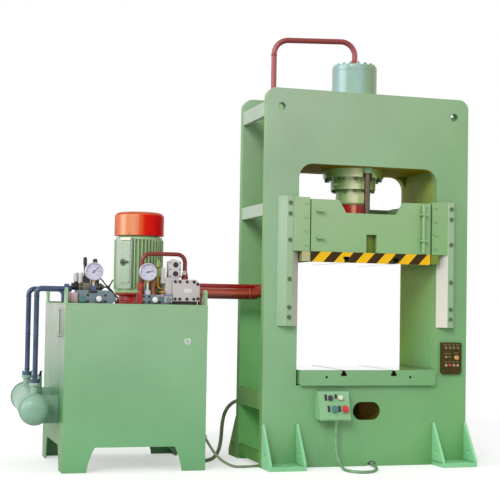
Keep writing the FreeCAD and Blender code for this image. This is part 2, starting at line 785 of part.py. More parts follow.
def fan_cowl():
    r = COWL_R
    low = MOTOR_HIGH + 12
    top = COWL_HIGH
    profile = [
        (0, low),
        (r, low),
        (r, top - 34),
        (r - 3, top - 22),
        (r - 10, top - 11),
        (r - 21, top - 4),
        (r - 38, top),
        (0, top),
    ]
    cowl = lathe(profile)
    slots = []
    for ring, count in ((58, 10), (92, 16), (124, 22)):
        for i in range(count):
            angle = 2 * math.pi * (i + 0.5) / count
            slot = block(-5, 5, -11, 11, top - 6, top + 1)
            slot.rotate(Vector(0, 0, 0), Z, math.degrees(angle) + 90)
            slot.translate(Vector(ring * math.cos(angle), ring * math.sin(angle), 0))
            slots.append(slot)
    cowl = cowl.cut(Part.makeCompound(slots))
    cowl.translate(Vector(MOTOR_X, MOTOR_Y, 0))
    return cowl


def bell_housing():
    profile = [
        (0, DECK),
        (167, DECK),
        (167, DECK + 18),
        (140, DECK + 26),
        (140, MOTOR_LOW - 22),
        (170, MOTOR_LOW - 16),
        (170, MOTOR_LOW),
        (0, MOTOR_LOW),
    ]
    return lathe(profile, (MOTOR_X, MOTOR_Y, 0))


# ---------------------------------------------------------------- valve groups
GAUGE = 126.0
GAUGE_Y = -262.0
GAUGES = {"left": (-2011.0, 1372.0), "right": (-1629.0, 1377.0)}
LEFT_KNOBS = {"tall_relief_knob": (-2064.0, 24.0, 1412.0, 1472.0), "short_relief_knob": (-1994.0, 30.0, 1424.0, 1462.0)}
FACE_KNOBS = {"left_isolator_knob": (-1978.0, 1183.0), "right_isolator_knob": (-1583.0, 1183.0)}
FACE_KNOB = 40.0
BLOCK_FRONT = -262.0
KNOB_Y = BLOCK_FRONT + 74
SLIDE_VALVE_Y = BLOCK_FRONT + 112


def left_valve_block():
    """Manifold on the deck, a stacked slide valve and two relief valves on it."""
    y0 = BLOCK_FRONT
    manifold = prism([
        (-2115, y0, DECK),
        (-1880, y0, DECK),
        (-1858, y0, DECK + 22),
        (-1872, y0, DECK + 66),
        (-1900, y0, DECK + 90),
        (-2115, y0, DECK + 90),
    ], (0, 200, 0))
    boss = drum((-1978, y0, 1183), 26, 12, Y * -1)
    valve = block(-2102, -1964, y0 + 40, y0 + 150, DECK + 90, DECK + 140)
    stack = [valve]
    for start, wide, long in ((-2150, 50, 50), (-1966, 50, 28), (-1940, 34, 14)):
        stack.append(drum((start, SLIDE_VALVE_Y, DECK + 115), wide, long, X))
    stack.append(drum((-2118, SLIDE_VALVE_Y, DECK + 115), 30, 96))
    stack.append(drum((-2118, SLIDE_VALVE_Y, DECK + 150), 40, 46))
    for x, half, tall in ((-2064, 32, 44), (-1994, 26, 28)):
        stack.append(block(x - half, x + half, y0 + 44, y0 + 104, DECK + 140, DECK + 140 + tall))
    for x, wide, low, high in LEFT_KNOBS.values():
        stack.append(drum((x, KNOB_Y, DECK + 150), 18, low - DECK - 150))
    box = block(-2196, -2126, y0 - 20, y0 + 60, DECK, DECK + 72)
    hole = drum((-1978, y0 + 20, 1183), 10.8, 40, Y * -1)
    solid = fused([manifold, boss] + stack)
    return Part.makeCompound([solid.cut(hole), box])


def right_valve_block():
    """Manifold, bolted cover block, twin-socket solenoid valve and return elbow."""
    y0 = BLOCK_FRONT
    manifold = block(-1676, -1452, y0, y0 + 180, DECK, DECK + 68)
    bosses = [drum((-1583, y0, 1183), 26, 12, Y * -1), drum((-1484, y0, 1188), 34, 14, Y * -1)]
    cover = prism([
        (-1450, y0, DECK + 24),
        (-1256, y0, DECK + 24),
        (-1256, y0, DECK + 150),
        (-1284, y0, DECK + 178),
        (-1450, y0, DECK + 178),
    ], (0, 150, 0))
    plinth = block(-1440, -1270, y0 + 14, y0 + 150, DECK, DECK + 24)
    outlet = block(-1410, -1256, y0 + 150, RISER_Y + 50, DECK, DECK + 170)
    solenoid = prism([
        (-1474, y0 + 40, 1342),
        (-1384, y0 + 40, 1342),
        (-1384, y0 + 40, 1456),
        (-1440, y0 + 40, 1476),
        (-1474, y0 + 40, 1456),
    ], (0, 76, 0))
    under = block(-1500, -1400, y0 + 30, y0 + 130, DECK + 178, 1342)
    riser = block(-1500, -1450, y0 + 30, y0 + 130, DECK + 68, DECK + 178)
    upright = block(-1528, -1500, y0 + 34, y0 + 92, 1300, 1412)
    hole = drum((-1583, y0 + 20, 1183), 10.8, 40, Y * -1)
    solid = fused([manifold, cover, plinth, outlet, solenoid, under, riser, upright] + bosses)
    return solid.cut(hole)


def gauge(side):
    """Pressure gauge: round case with a recessed dial, and its stem to the block."""
    x, z = GAUGES[side]
    r = GAUGE / 2
    profile = [
        (0, 0),
        (r - 6, 0),
        (r, 6),
        (r, 40),
        (r - 3, 43),
        (r - 7, 43),
        (r - 7, 33),
        (3, 33),
        (3, 38),
        (0, 38),
    ]
    case = lathe(profile, (x, GAUGE_Y + 43, z), Y * -1)
    top = DECK + 90 if side == "left" else DECK + 68
    stem = drum((x, GAUGE_Y + 21, top), 18, z - r + 4 - top)
    foot_block = block(x - 16, x + 16, GAUGE_Y + 5, GAUGE_Y + 37, top, top + 30)
    return fused([case, stem, foot_block])


def gauge_pointer(side):
    x, z = GAUGES[side]
    needle = prism([(-16, -35.5, -3), (42, -35.5, -1), (42, -35.5, 1), (-16, -35.5, 3)], (0, -1.6, 0))
    hub = drum((0, -35.5, 0), 14, 1.6, Y * -1)
    whole = needle.fuse(hub).cut(drum((0, -30, 0), 6.1, 10, Y * -1)).removeSplitter()
    whole.rotate(Vector(0, 0, 0), Y, -42 if side == "left" else -16)
    whole.translate(Vector(x, GAUGE_Y + 43, z))
    return whole


def relief_knob(name):
    x, wide, low, high = LEFT_KNOBS[name]
    r = wide / 2
    profile = [
        (0, low + 0.5),
        (r - 2, low + 0.5),
        (r, low + 5),
        (r, high - 6),
        (r - 4, high),
        (0, high),
    ]
    return lathe(profile, (x, KNOB_Y, 0))


def isolator_knob(name):
    x, z = FACE_KNOBS[name]
    r = FACE_KNOB / 2
    profile = [(0, -10), (5, -10), (5, 13), (r - 3, 13), (r, 17), (r, 27), (r - 5, 33), (0, 35)]
    return lathe(profile, (x, BLOCK_FRONT, z), Y * -1)


def valve_pipes():
    """Red arch over the right group, brass branch with its valve, elbow and thin drain tube."""
    y = BLOCK_FRONT + 82
    deck_block = DECK + 68
    arch = pipe([
        (-1657, y, deck_block),
        (-1657, y, 1509),
        (-1348, y, 1509),
        (-1348, y, DECK + 178),
    ], [58, 58], 30)
    collar = drum((-1348, y, DECK + 178), 48, 30)
    brass = pipe([(-1541, y, 1416), (-1541, y, 1262), (-1500, y, 1262)], [24], 20)
    valve = fused([drum((-1541, y, 1416), 34, 34), drum((-1541, y, 1450), 22, 16)])
    elbow = pipe([(-1256, y, DECK + 60), (-1232, y, DECK + 60), (-1232, y, DECK)], [20], 34)
    drain = pipe([
        (-1926, SLIDE_VALVE_Y, DECK + 115),
        (-1902, SLIDE_VALVE_Y, DECK + 115),
        (-1820, SLIDE_VALVE_Y, DECK + 38),
        (-1820, SLIDE_VALVE_Y, DECK),
    ], [24, 24], 12)
    return Part.makeCompound([arch.fuse(collar).removeSplitter(), brass, valve, elbow, drain])


# ---------------------------------------------------------------- oil cooler
def oil_cooler():
    """Tube cooler, its rear end a little higher: shell with domed heads, ports, water stubs, saddles."""
    r = COOLER_R
    half = COOLER_LONG / 2
    dome = [(0.36, 57), (0.64, 49), (0.84, 34), (0.96, 16)]
    profile = [(0, -half - 60)]
    profile += [(r * share, -half - out) for share, out in dome]
    profile += [(r, -half - 2), (r, half + 2)]
    profile += [(r * share, half + out) for share, out in reversed(dome)]
    profile += [(0, half + 60)]
    middle = Vector(COOLER_X, COOLER_MIDDLE, COOLER_Z)
    heading = Vector(0, 1, COOLER_SLOPE).normalize()
    pieces = [lathe(profile, middle, heading)]
    for along in (12 - half, half - 12):
        pieces.append(drum(middle + heading * (along - 7), 2 * r + 14, 14, heading))
    for y, top in COOLER_PORTS.items():
        low = cooler_axis(y) + r - 20
        pieces.append(drum((COOLER_X, y, low), 54, top - 22 - low))
        pieces.append(drum((COOLER_X, y, top - 22), 76, 22))
    for y, top in COOLER_VALVES.values():
        low = cooler_axis(y) + r - 30
        pieces.append(drum((COOLER_X + 46, y, low), 30, top - low))
    for y in SADDLES:
        low = cooler_axis(y) - r - 10
        pieces.append(block(COOLER_X + 40, TANK_X0, y - 7, y + 7, low, low + 2 * r - 10))
    return fused(pieces)


def cooler_axis(y):
    return COOLER_Z + COOLER_SLOPE * (y - COOLER_MIDDLE)


COOLER_VALVES = {"front_water_lever": (-60.0, 640.0), "rear_water_lever": (230.0, 640.0)}


def water_lever(name):
    """Ball valve handle: turns about an upright spindle."""
    y, z = COOLER_VALVES[name]
    x = COOLER_X + 46
    hub = drum((x, y, z + 0.5), 26, 12)
    arm = prism([
        (x - 8, y, z + 4),
        (x - 8, y - 20, z + 4),
        (x - 8, y - 40, z + 26),
        (x - 8, y - 70, z + 34),
        (x - 8, y - 70, z + 41),
        (x - 8, y - 43, z + 33),
        (x - 8, y - 22, z + 12.5),
        (x - 8, y, z + 12.5),
    ], (16, 0, 0))
    return fused([hub, arm])


def cooler_pipes():
    """Two blue oil pipes from the cooler: to the valve group, and back into the tank."""
    top = 1250
    (front_y, front_z), (rear_y, rear_z) = COOLER_PORTS.items()
    front = [(COOLER_X, front_y, front_z), (COOLER_X, front_y, top), (-2180, front_y, top)]
    rear = [(COOLER_X, rear_y, rear_z), (COOLER_X, rear_y, top), (-2136, rear_y, top), (-2136, rear_y, DECK)]
    line = pipe(front, [34], 36)
    union = hex_head((-2200, front_y, top), 62, 34, X)
    sleeve = drum((-2166, front_y, top), 44, 16, X)
    front_solid = fused([line, union, sleeve, drum((COOLER_X, front_y, front_z), 70, 24)])
    rear_solid = fused([pipe(rear, [44, 44], 36), drum((COOLER_X, rear_y, rear_z), 70, 24)])
    return Part.makeCompound([front_solid, rear_solid])


# ---------------------------------------------------------------- flexible conduits
WEB_GLAND = 44.0
WEB_GLAND_OUT = 30.0
RIB_GLAND_OUT = 12.0
ELBOW_GLAND = 46.0
ELBOW_REACH = 44.0

BOX_CONDUIT = 22.0
BOX_ROUTE = [
    (-262, -400, 322),
    (-262, -400, 245),
    (-268, -404, 165),
    (-266, -424, 90),
    (-258, -474, 34),
    (-256, -540, 11),
    (-258, -594, 11),
    (-246, -652, 11),
    (-208, -698, 11),
    (-152, -712, 11),
    (-98, -690, 11),
    (-56, -640, 11),
    (-10, -556, 11),
    (26, -450, 11),
    (42, -342, 11),
    (44, -250, 11),
    (50, -203, 11),
    (76, -163, 11),
    (115, -141, 15),
    (153, -141, 15),
]

POWER_CONDUIT = 28.0
POWER_ROUTE = [
    (-700, 372, 434),
    (-768, 372, 434),
    (-838, 372, 398),
    (-882, 366, 332),
    (-902, 350, 254),
    (-918, 308, 180),
    (-940, 252, 118),
    (-974, 188, 64),
    (-1022, 122, 28),
    (-1075, 72, 16),
    (-1139, 44, 14),
    (-1244, 48, 14),
    (-1322, 72, 88),
]

SIGNAL_CONDUIT = 19.0
SIGNAL_ROUTE = [
    (-1192, -240, 214),
    (-1152, -240, 148),
    (-1108, -243, 88),
    (-1054, -250, 40),
    (-985, -268, 9.5),
    (-905, -276, 9.5),
    (-828, -254, 9.5),
    (-752, -228, 10),
    (-684, -220, 62),
    (-600, -220, 62),
]


def box_conduit():
    return conduit("box_conduit", BOX_ROUTE, BOX_CONDUIT)


def power_conduit():
    return conduit("power_conduit", POWER_ROUTE, POWER_CONDUIT)


def signal_conduit():
    return conduit("signal_conduit", SIGNAL_ROUTE, SIGNAL_CONDUIT)


# ---------------------------------------------------------------- every piece, by name
PIECES = {
    "front_frame_plate": front_frame_plate,
    "rear_frame_plate": rear_frame_plate,
    "left_column_web": lambda: column_web(-1),
    "right_column_web": lambda: column_web(1),
    "crown_bottom_plate": crown_bottom_plate,
    "crown_top_plate": crown_top_plate,
    "column_tie_bars": column_tie_bars,
    "bed_box": bed_box,
    "table": table,
    "guide_gibs": guide_gibs,
    "frame_screws": frame_screws,
    "cylinder_barrel": cylinder_barrel,
    "cylinder_cap": cylinder_cap,
    "gland_ring": gland_ring,
    "ram": ram,
    "position_rod": position_rod,
    "slide_body": slide_body,
    "slide_bolster": slide_bolster,
    "guide_shoes": guide_shoes,
    "trip_rod": trip_rod,
    "button_box": button_box,
    "control_panel": control_panel,
    "panel_lamps": panel_lamps,
    "head_pipe": head_pipe,
    "return_pipe": return_pipe,
    "tank": tank,
    "tank_cover": tank_cover,
    "level_gauge": level_gauge,
    "pump_motor": pump_motor,
    "fan_cowl": fan_cowl,
    "bell_housing": bell_housing,
    "left_valve_block": left_valve_block,
    "right_valve_block": right_valve_block,
    "valve_pipes": valve_pipes,
    "oil_cooler": oil_cooler,
    "cooler_pipes": cooler_pipes,
    "box_conduit": box_conduit,
    "power_conduit": power_conduit,
    "signal_conduit": signal_conduit,
}
for end_name, end_sign in (("front", -1), ("rear", 1)):
    for side_name, side_sign in (("left", -1), ("right", 1)):
        PIECES[end_name + "_" + side_name + "_foot"] = lambda s=side_sign, e=end_sign: foot(s, e)
for side_name in GAUGES:
    PIECES[side_name + "_gauge"] = lambda s=side_name: gauge(s)
    PIECES[side_name + "_gauge_pointer"] = lambda s=side_name: gauge_pointer(s)
for key in BOX_BUTTONS:
    PIECES[key] = lambda n=key: box_button(n)
for key in PANEL_BUTTONS:
    PIECES[key] = lambda n=key: panel_button(n)
for key in LEFT_KNOBS:
    PIECES[key] = lambda n=key: relief_knob(n)
for key in FACE_KNOBS:
    PIECES[key] = lambda n=key: isolator_knob(n)
for key in COOLER_VALVES:
    PIECES[key] = lambda n=key: water_lever(n)

os.makedirs("parts", exist_ok=True)
for name, make in PIECES.items():
    make().exportStep("parts/" + name + ".step")
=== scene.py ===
import math

import bpy
from mathutils import Matrix, Vector


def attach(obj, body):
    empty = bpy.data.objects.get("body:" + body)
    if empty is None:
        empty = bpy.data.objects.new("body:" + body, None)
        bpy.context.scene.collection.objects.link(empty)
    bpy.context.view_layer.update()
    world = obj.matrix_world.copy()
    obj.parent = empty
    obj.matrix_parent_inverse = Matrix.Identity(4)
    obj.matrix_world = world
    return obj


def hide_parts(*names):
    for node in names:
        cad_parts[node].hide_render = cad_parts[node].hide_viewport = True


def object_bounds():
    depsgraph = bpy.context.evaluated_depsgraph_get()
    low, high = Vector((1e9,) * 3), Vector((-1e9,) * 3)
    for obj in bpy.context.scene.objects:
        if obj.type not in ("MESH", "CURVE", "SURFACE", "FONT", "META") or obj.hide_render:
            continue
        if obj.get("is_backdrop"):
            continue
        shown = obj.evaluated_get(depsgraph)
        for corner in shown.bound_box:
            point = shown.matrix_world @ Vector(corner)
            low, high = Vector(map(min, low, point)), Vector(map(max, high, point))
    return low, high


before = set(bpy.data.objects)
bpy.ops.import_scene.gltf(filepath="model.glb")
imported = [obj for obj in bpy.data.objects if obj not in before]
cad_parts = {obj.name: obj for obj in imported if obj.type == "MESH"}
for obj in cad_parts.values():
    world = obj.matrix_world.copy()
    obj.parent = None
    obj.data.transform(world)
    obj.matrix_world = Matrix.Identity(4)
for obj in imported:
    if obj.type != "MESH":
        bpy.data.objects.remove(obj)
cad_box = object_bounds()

# ------------------------------------------------------------------ studio and camera
# A pale floor and soft light from the left front. The camera stands left of the press, a little
# above the middle of the tank, and looks slightly up.
CAMERA_PLACE = (-3.474, -8.7166, 1.1538)
CAMERA_YAW = math.radians(16.908)
CAMERA_PITCH = math.radians(2.344)
CAMERA_ROLL = math.radians(0.963)
LENS = 88.8
SHIFT = (0.0039, 0.0102)
WHITE = (1, 1, 1, 1)
SKY_STRENGTH = 0.52
FLOOR_GLOW = 0.50


def put(name, data):
    made = bpy.data.objects.new(name, data)
    bpy.context.scene.collection.objects.link(made)
    return made


camera = put("camera", bpy.data.cameras.new("camera"))
camera.matrix_world = (
    Matrix.Translation(CAMERA_PLACE)
    @ Matrix.Rotation(-CAMERA_YAW, 4, "Z")
    @ Matrix.Rotation(math.pi / 2 + CAMERA_PITCH, 4, "X")
    @ Matrix.Rotation(CAMERA_ROLL, 4, "Z")
)
camera.data.lens = LENS
camera.data.shift_x, camera.data.shift_y = SHIFT
camera.data.clip_end = 200
bpy.context.scene.camera = camera
bpy.context.scene.view_settings.view_transform = "Standard"

for name, towards, strength, spread_angle in (("key_light", (-0.52, -0.76, 0.52), 1.50, 24),
                                              ("left_light", (-0.95, -0.10, 0.34), 1.05, 40),
                                              ("right_light", (0.75, -0.60, 0.45), 0.25, 50)):
    lamp = bpy.data.lights.new(name, "SUN")
    lamp.energy = strength
    lamp.angle = math.radians(spread_angle)
    put(name, lamp).rotation_euler = Vector(towards).to_track_quat("Z", "Y").to_euler()


def tone(colour):
    """A colour given as 0 to 255 on the screen, for a shader's socket."""
    linear = [c / 255 / 12.92 if c < 11 else ((c / 255 + 0.055) / 1.055) ** 2.4 for c in colour]
    return (*linear, 1.0)


def feed(made, node, inputs):
    """Gives a node's inputs their values: plain ones, or outputs of other nodes."""
    for socket, value in inputs.items():
        if isinstance(value, bpy.types.NodeSocket):
            made.node_tree.links.new(value, node.inputs[socket])
        else:
            node.inputs[socket].default_value = value


def add(made, kind, inputs, **settings):
    """A new node in a finish or in the world, with its settings and inputs."""
    node = made.node_tree.nodes.new("ShaderNode" + kind)
    for name, value in settings.items():
        setattr(node, name, value)
    feed(made, node, inputs)
    return node


def seen_share(made):
    """1 for what is seen, directly, mirrored or through something, and 0 for what only lights the scene."""
    ray = add(made, "LightPath", {}).outputs
    mirrored = add(made, "Math", {0: ray["Is Camera Ray"], 1: ray["Is Glossy Ray"]}, operation="MAXIMUM")
    either = {0: mirrored.outputs[0], 1: ray["Is Transmission Ray"]}
    return add(made, "Math", either, operation="MAXIMUM").outputs[0]


def shade(made, inputs):
    """Sets or links inputs of a finish's principled shader."""
    feed(made, made.node_tree.nodes["Principled BSDF"], inputs)


def finish_of(name, inputs):
    made = bpy.data.materials.new(name)
    made.use_nodes = True
    shade(made, inputs)
    return made


world = bpy.data.worlds.new("studio_air")
bpy.context.scene.world = world
world.use_nodes = True
world.node_tree.nodes.clear()
sky_light = add(world, "Background", {"Color": WHITE, "Strength": SKY_STRENGTH})
sky_seen = add(world, "Background", {"Color": WHITE})
sky = add(world, "MixShader", {"Fac": seen_share(world), 1: sky_light.outputs[0], 2: sky_seen.outputs[0]})
add(world, "OutputWorld", {"Surface": sky.outputs[0]})

bpy.ops.mesh.primitive_plane_add(size=80, location=(0, 0, -0.0006))
floor = bpy.context.object
floor.name = "studio_floor"
bpy.ops.object.transform_apply()
floor_paint = finish_of("studio_floor_paint", {"Base Color": tone((205, 205, 204)), "Roughness": 0.9,
                                               "Specular IOR Level": 0.1, "Emission Color": WHITE})
lift = add(floor_paint, "Math", {0: seen_share(floor_paint), 1: FLOOR_GLOW}, operation="MULTIPLY")
shade(floor_paint, {"Emission Strength": lift.outputs[0]})
floor.data.materials.append(floor_paint)
floor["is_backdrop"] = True


# ------------------------------------------------------------------ flexible conduits
# Grey-green rubber-covered conduits: one hangs from the button box and runs under the frame, one goes
# from the back plate down to the tank's underside, and a thin one from the tank's side to the frame.
def own_place(made):
    return add(made, "TexCoord", {}).outputs["Object"]


def noise(made, scale, detail, stretch=(1, 1, 1)):
    """Noise on the piece's own coordinates."""
    place = add(made, "Mapping", {"Vector": own_place(made), "Scale": stretch}).outputs["Vector"]
    return add(made, "TexNoise", {"Vector": place, "Scale": scale, "Detail": detail}).outputs["Fac"]


NOISE_LOW, NOISE_HIGH = 0.35, 0.65      # most of the noise lies between these


def spread(made, value, start, stop, low=0.0, high=1.0):
    """Brings a value from the range between start and stop to the range from low to high."""
    inputs = {"Value": value, "From Min": start, "From Max": stop, "To Min": low, "To Max": high}
    return add(made, "MapRange", inputs).outputs["Result"]


def ramp(made, share, stops, blend="LINEAR"):
    """Colours that follow one another along a share; each stop is a share and a colour."""
    node = add(made, "ValToRGB", {"Fac": share})
    line = node.color_ramp
    line.interpolation = blend
    for element, (spot, colour) in zip(line.elements, (stops[0], stops[-1])):
        element.position = spot
        element.color = colour
    for spot, colour in stops[1:-1]:
        line.elements.new(spot).color = colour
    return node.outputs["Color"]


def mottle(made, dark, light, scale, detail=4.0):
    """Base colour that wanders between two tones, as worn or hand-painted surfaces do."""
    shade(made, {"Base Color": ramp(made, noise(made, scale, detail), [(0.34, dark), (0.66, light)])})


def speckle(made, scale, low, high):
    """Roughness that varies over the piece from low to high."""
    shade(made, {"Roughness": spread(made, noise(made, scale, 3.0), NOISE_LOW, NOISE_HIGH, low, high)})


def grain(made, scale, strength, depth=0.001, stretch=(1, 1, 1)):
    """A fine bump on the piece's own coordinates."""
    height = noise(made, scale, 4.0, stretch)
    bump = add(made, "Bump", {"Strength": strength, "Distance": depth, "Height": height})
    shade(made, {"Normal": bump.outputs["Normal"]})


def worn(name, tones, rough, bump=None, metal=0.0, shine=0.5, coat=0.0):
    """A finish with mottled tones (dark, light, scale), a plain or a speckled roughness, and a bump."""
    made = finish_of(name, {"Metallic": metal, "Specular IOR Level": shine, "Coat Weight": coat})
    if tones:
        dark, light, *size = tones
        mottle(made, tone(dark), tone(light), *size)
    if isinstance(rough, tuple):
        speckle(made, *rough)
    else:
        shade(made, {"Roughness": rough})
    if bump:
        grain(made, *bump)
    return made


def tube(name, route, radius, sides, steps):
    """A round tube on a smooth line with the route's points."""
    line = bpy.data.curves.new(name, "CURVE")
    line.dimensions = "3D"
    line.bevel_depth = radius
    line.bevel_resolution = sides
    line.resolution_u = steps
    line.use_fill_caps = True
    spline = line.splines.new("NURBS")
    spline.points.add(len(route) - 1)
    for point, place in zip(spline.points, route):
        point.co = (*place, 1)
    spline.order_u = 3
    spline.use_endpoint_u = True
    return put(name, line)


SMOOTH_BELOW = math.radians(40)
PRESS = "press_and_power_unit"
BOX_ROUTE = [
    (-0.262, -0.400, 0.322), (-0.262, -0.400, 0.245), (-0.268, -0.404, 0.165), (-0.266, -0.424, 0.090),
    (-0.258, -0.474, 0.034), (-0.256, -0.540, 0.011), (-0.258, -0.594, 0.011), (-0.246, -0.652, 0.011),
    (-0.208, -0.698, 0.011), (-0.152, -0.712, 0.011), (-0.098, -0.690, 0.011), (-0.056, -0.640, 0.011),
    (-0.010, -0.556, 0.011), (0.026, -0.450, 0.011), (0.042, -0.342, 0.011), (0.044, -0.250, 0.011),
    (0.050, -0.203, 0.011), (0.076, -0.163, 0.011), (0.115, -0.141, 0.015), (0.153, -0.141, 0.015),
]
POWER_ROUTE = [
    (-0.700, 0.372, 0.434), (-0.768, 0.372, 0.434), (-0.838, 0.372, 0.398), (-0.882, 0.366, 0.332),
    (-0.902, 0.350, 0.254), (-0.918, 0.308, 0.180), (-0.940, 0.252, 0.118), (-0.974, 0.188, 0.064),
    (-1.022, 0.122, 0.028), (-1.075, 0.072, 0.016), (-1.139, 0.044, 0.014), (-1.244, 0.048, 0.014),
    (-1.322, 0.072, 0.088),
]
SIGNAL_ROUTE = [
    (-1.192, -0.240, 0.214), (-1.152, -0.240, 0.148), (-1.108, -0.243, 0.088), (-1.054, -0.250, 0.040),
    (-0.985, -0.268, 0.0095), (-0.905, -0.276, 0.0095), (-0.828, -0.254, 0.0095), (-0.752, -0.228, 0.010),
    (-0.684, -0.220, 0.062), (-0.600, -0.220, 0.062),
]
conduit_rubber = worn("conduit_rubber", ((116, 128, 94), (140, 152, 116), 24), 0.55, (700, 0.25))
conduit_green = worn("conduit_green", ((100, 144, 104), (124, 164, 122), 24), 0.55, (700, 0.25))
# route, diameter, length, how stiff and finish, in metres
CONDUITS = {
    "box_conduit": (BOX_ROUTE, 0.022, 1.309, "limp", conduit_green),
    "power_conduit": (POWER_ROUTE, 0.028, 1.008, "medium", conduit_rubber),
    "signal_conduit": (SIGNAL_ROUTE, 0.019, 0.704, "medium", conduit_rubber),
}
for name, (route, diameter, length, stiffness, rubber) in CONDUITS.items():
    conduit = tube(name + "_tube", route, diameter / 2, 5, 8)
    conduit.data.materials.append(rubber)
    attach(conduit, PRESS)
    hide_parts(name)


# ------------------------------------------------------------------ frame plates
# Two flame-cut steel plates, front and back, carry everything else. Their edges are ground round and
# they are sprayed with pale green machine enamel, paler at the left and greyer high up as a painted
# light, with painted shade in the deep corners, the window's reveals, the crown's underside and the oval
# hole.
def take_only(*things):
    bpy.ops.object.select_all(action="DESELECT")
    for thing in things:
        thing.select_set(True)
    bpy.context.view_layer.objects.active = things[-1]


def hang(piece, finish, body=PRESS, face=None):
    """Gives a made piece its finish and body, and lays it on a face of the object where one is given."""
    if face is not None:
        piece.data.transform(face)
        piece.data.update()
    piece.data.materials.clear()
    piece.data.materials.append(finish)
    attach(piece, body)
    return piece


def ease_edges(piece, width, steps=2, sharp=32):
    """Rounds the sharp edges and keeps the flats flat."""
    take_only(piece)
    edge = piece.modifiers.new("eased_edges", "BEVEL")
    edge.width = width
    edge.segments = steps
    edge.limit_method = "ANGLE"
    edge.angle_limit = math.radians(sharp)
    bpy.ops.object.modifier_apply(modifier=edge.name)
    bpy.ops.object.shade_smooth_by_angle(angle=SMOOTH_BELOW)
    flat = piece.modifiers.new("flat_faces", "WEIGHTED_NORMAL")
    flat.keep_sharp = True
    bpy.ops.object.modifier_apply(modifier=flat.name)


def refined(node, finish, width, body=PRESS, sharp=32, steps=2, merge_flats=True):
    """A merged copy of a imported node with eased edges, which stands for that node."""
    piece = put(node + "_finished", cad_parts[node].data.copy())
    take_only(piece)
    bpy.ops.object.mode_set(mode="EDIT")
    bpy.ops.mesh.select_all(action="SELECT")
    bpy.ops.mesh.remove_doubles(threshold=0.00002)
    if merge_flats:
        bpy.ops.mesh.dissolve_limited(angle_limit=math.radians(1))
    bpy.ops.object.mode_set(mode="OBJECT")
    ease_edges(piece, width, steps, sharp)
    hang(piece, finish, body)
    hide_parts(node)
    return piece


def face_finish(piece, finish, chosen):
    """Puts a second finish on the faces that are picked by their centre and normal."""
    piece.data.materials.append(finish)
    for face in piece.data.polygons:
        if chosen(face.center, face.normal):
            face.material_index = len(piece.data.materials) - 1


def mixed(made, share, first, second, blend="MIX"):
    inputs = {0: share, 6: first, 7: second}
    return add(made, "Mix", inputs, data_type="RGBA", blend_type=blend).outputs[2]


def toned(stops):
    return [(spot, tone(colour)) for spot, colour in stops]


def run_across(made, along, start, stop, stops):
    """Tones that run across a piece along a direction; used for painted highlights and reflections, and for
    plain changes of tone.
    """
    share = add(made, "VectorMath", {0: own_place(made), 1: along}, operation="DOT_PRODUCT").outputs["Value"]
    return ramp(made, spread(made, share, start, stop), toned(stops), "EASE")


def enamel(name, high, low, z_low, z_high, rough=0.40, shade_tone=(74, 118, 54), depth=0.36, reach=0.26,
           light_slant=None, shine=0.5, coat=0.0):
    """Sprayed machine enamel: one tone high up and one low down, or what run_across takes in place of
    each; a paler tone up high is a painted light from above. It is faintly patchy, with orange peel, and
    darkened towards a dark tone where it is deep, a painted shade."""
    made = worn(name, None, (16, rough - 0.02, rough + 0.05), (330, 0.05, 0.0004), shine=shine, coat=coat)
    axes = add(made, "SeparateXYZ", {0: own_place(made)}).outputs
    ends = [tone(end) if len(end) == 3 else run_across(made, *end) for end in (low, high)]
    tint = mixed(made, spread(made, axes["Z"], z_low, z_high), *ends)
    swing = spread(made, noise(made, 2.2, 5.0), NOISE_LOW, NOISE_HIGH, 0.94, 1.05)
    patched = add(made, "HueSaturation", {"Value": swing, "Color": tint}).outputs["Color"]
    # Painted light: the slant multiplies in a tone that changes from left to right across the piece.
    if light_slant:
        cast = mixed(made, spread(made, axes["X"], -0.8, 0.8), *light_slant)
        patched = mixed(made, 1.0, patched, cast, "MULTIPLY")
    # Painted shade: ambient occlusion darkens the colour towards the given dark tone in deep places.
    hollow = add(made, "AmbientOcclusion", {"Distance": reach}, samples=8).outputs["AO"]
    deep = spread(made, hollow, 0.12, 0.72, depth, 0.0)
    shade(made, {"Base Color": mixed(made, deep, patched, tone(shade_tone))})
    return made


def front_to_rear(front, rear):
    return (0, 1, 0), -0.26, 0.26, [(0.0, front), (1.0, rear)]


def shaded_inside(outer):
    """The outer tone, and behind the window an olive painted shade, seen through it on the rear plate."""
    behind = (126, 132, 40)
    return (1, 0, 0), -0.8, 0.8, [(0.0, outer), (0.145, outer), (0.15, behind), (0.85, behind),
                                  (0.855, outer), (1.0, outer)]


WINDOW_HALF = 0.546
# Painted light: the frame's paint is multiplied paler at the left, where the lamps stand, and is greyer high
# up; the crown's underside gets a painted shade that is darkest at the left.
LIGHT_ACROSS = ((1.15, 1.03, 1.15, 1), (0.83, 0.93, 0.76, 1))
UNDER_SHADE_ACROSS = ((0.9, 0.62, 0.2, 1), (2.2, 2.7, 1.4, 1))
press_enamel = enamel("press_enamel", (148, 178, 143), (112, 171, 113), 0.0, 2.75, light_slant=LIGHT_ACROSS)
# Painted shade: the window's reveals in dull olive, darker towards the rear plate and darkened strongly where
# deep.
reveal_shade_enamel = enamel("reveal_shade_enamel", front_to_rear((164, 184, 80), (150, 160, 52)),
                       front_to_rear((108, 168, 110), (92, 140, 52)), 0.7, 2.1, rough=0.55,
                       shade_tone=(92, 80, 14), depth=0.85, shine=0.2)
# Painted shade: the undersides in the window, under the crown, in dark olive-brown.
under_shade_enamel = enamel("under_shade_enamel", (116, 96, 14), (116, 96, 14), 2.0, 2.3, rough=0.7, shade_tone=(84, 66, 2),
                      depth=0.6, light_slant=UNDER_SHADE_ACROSS, shine=0.03)
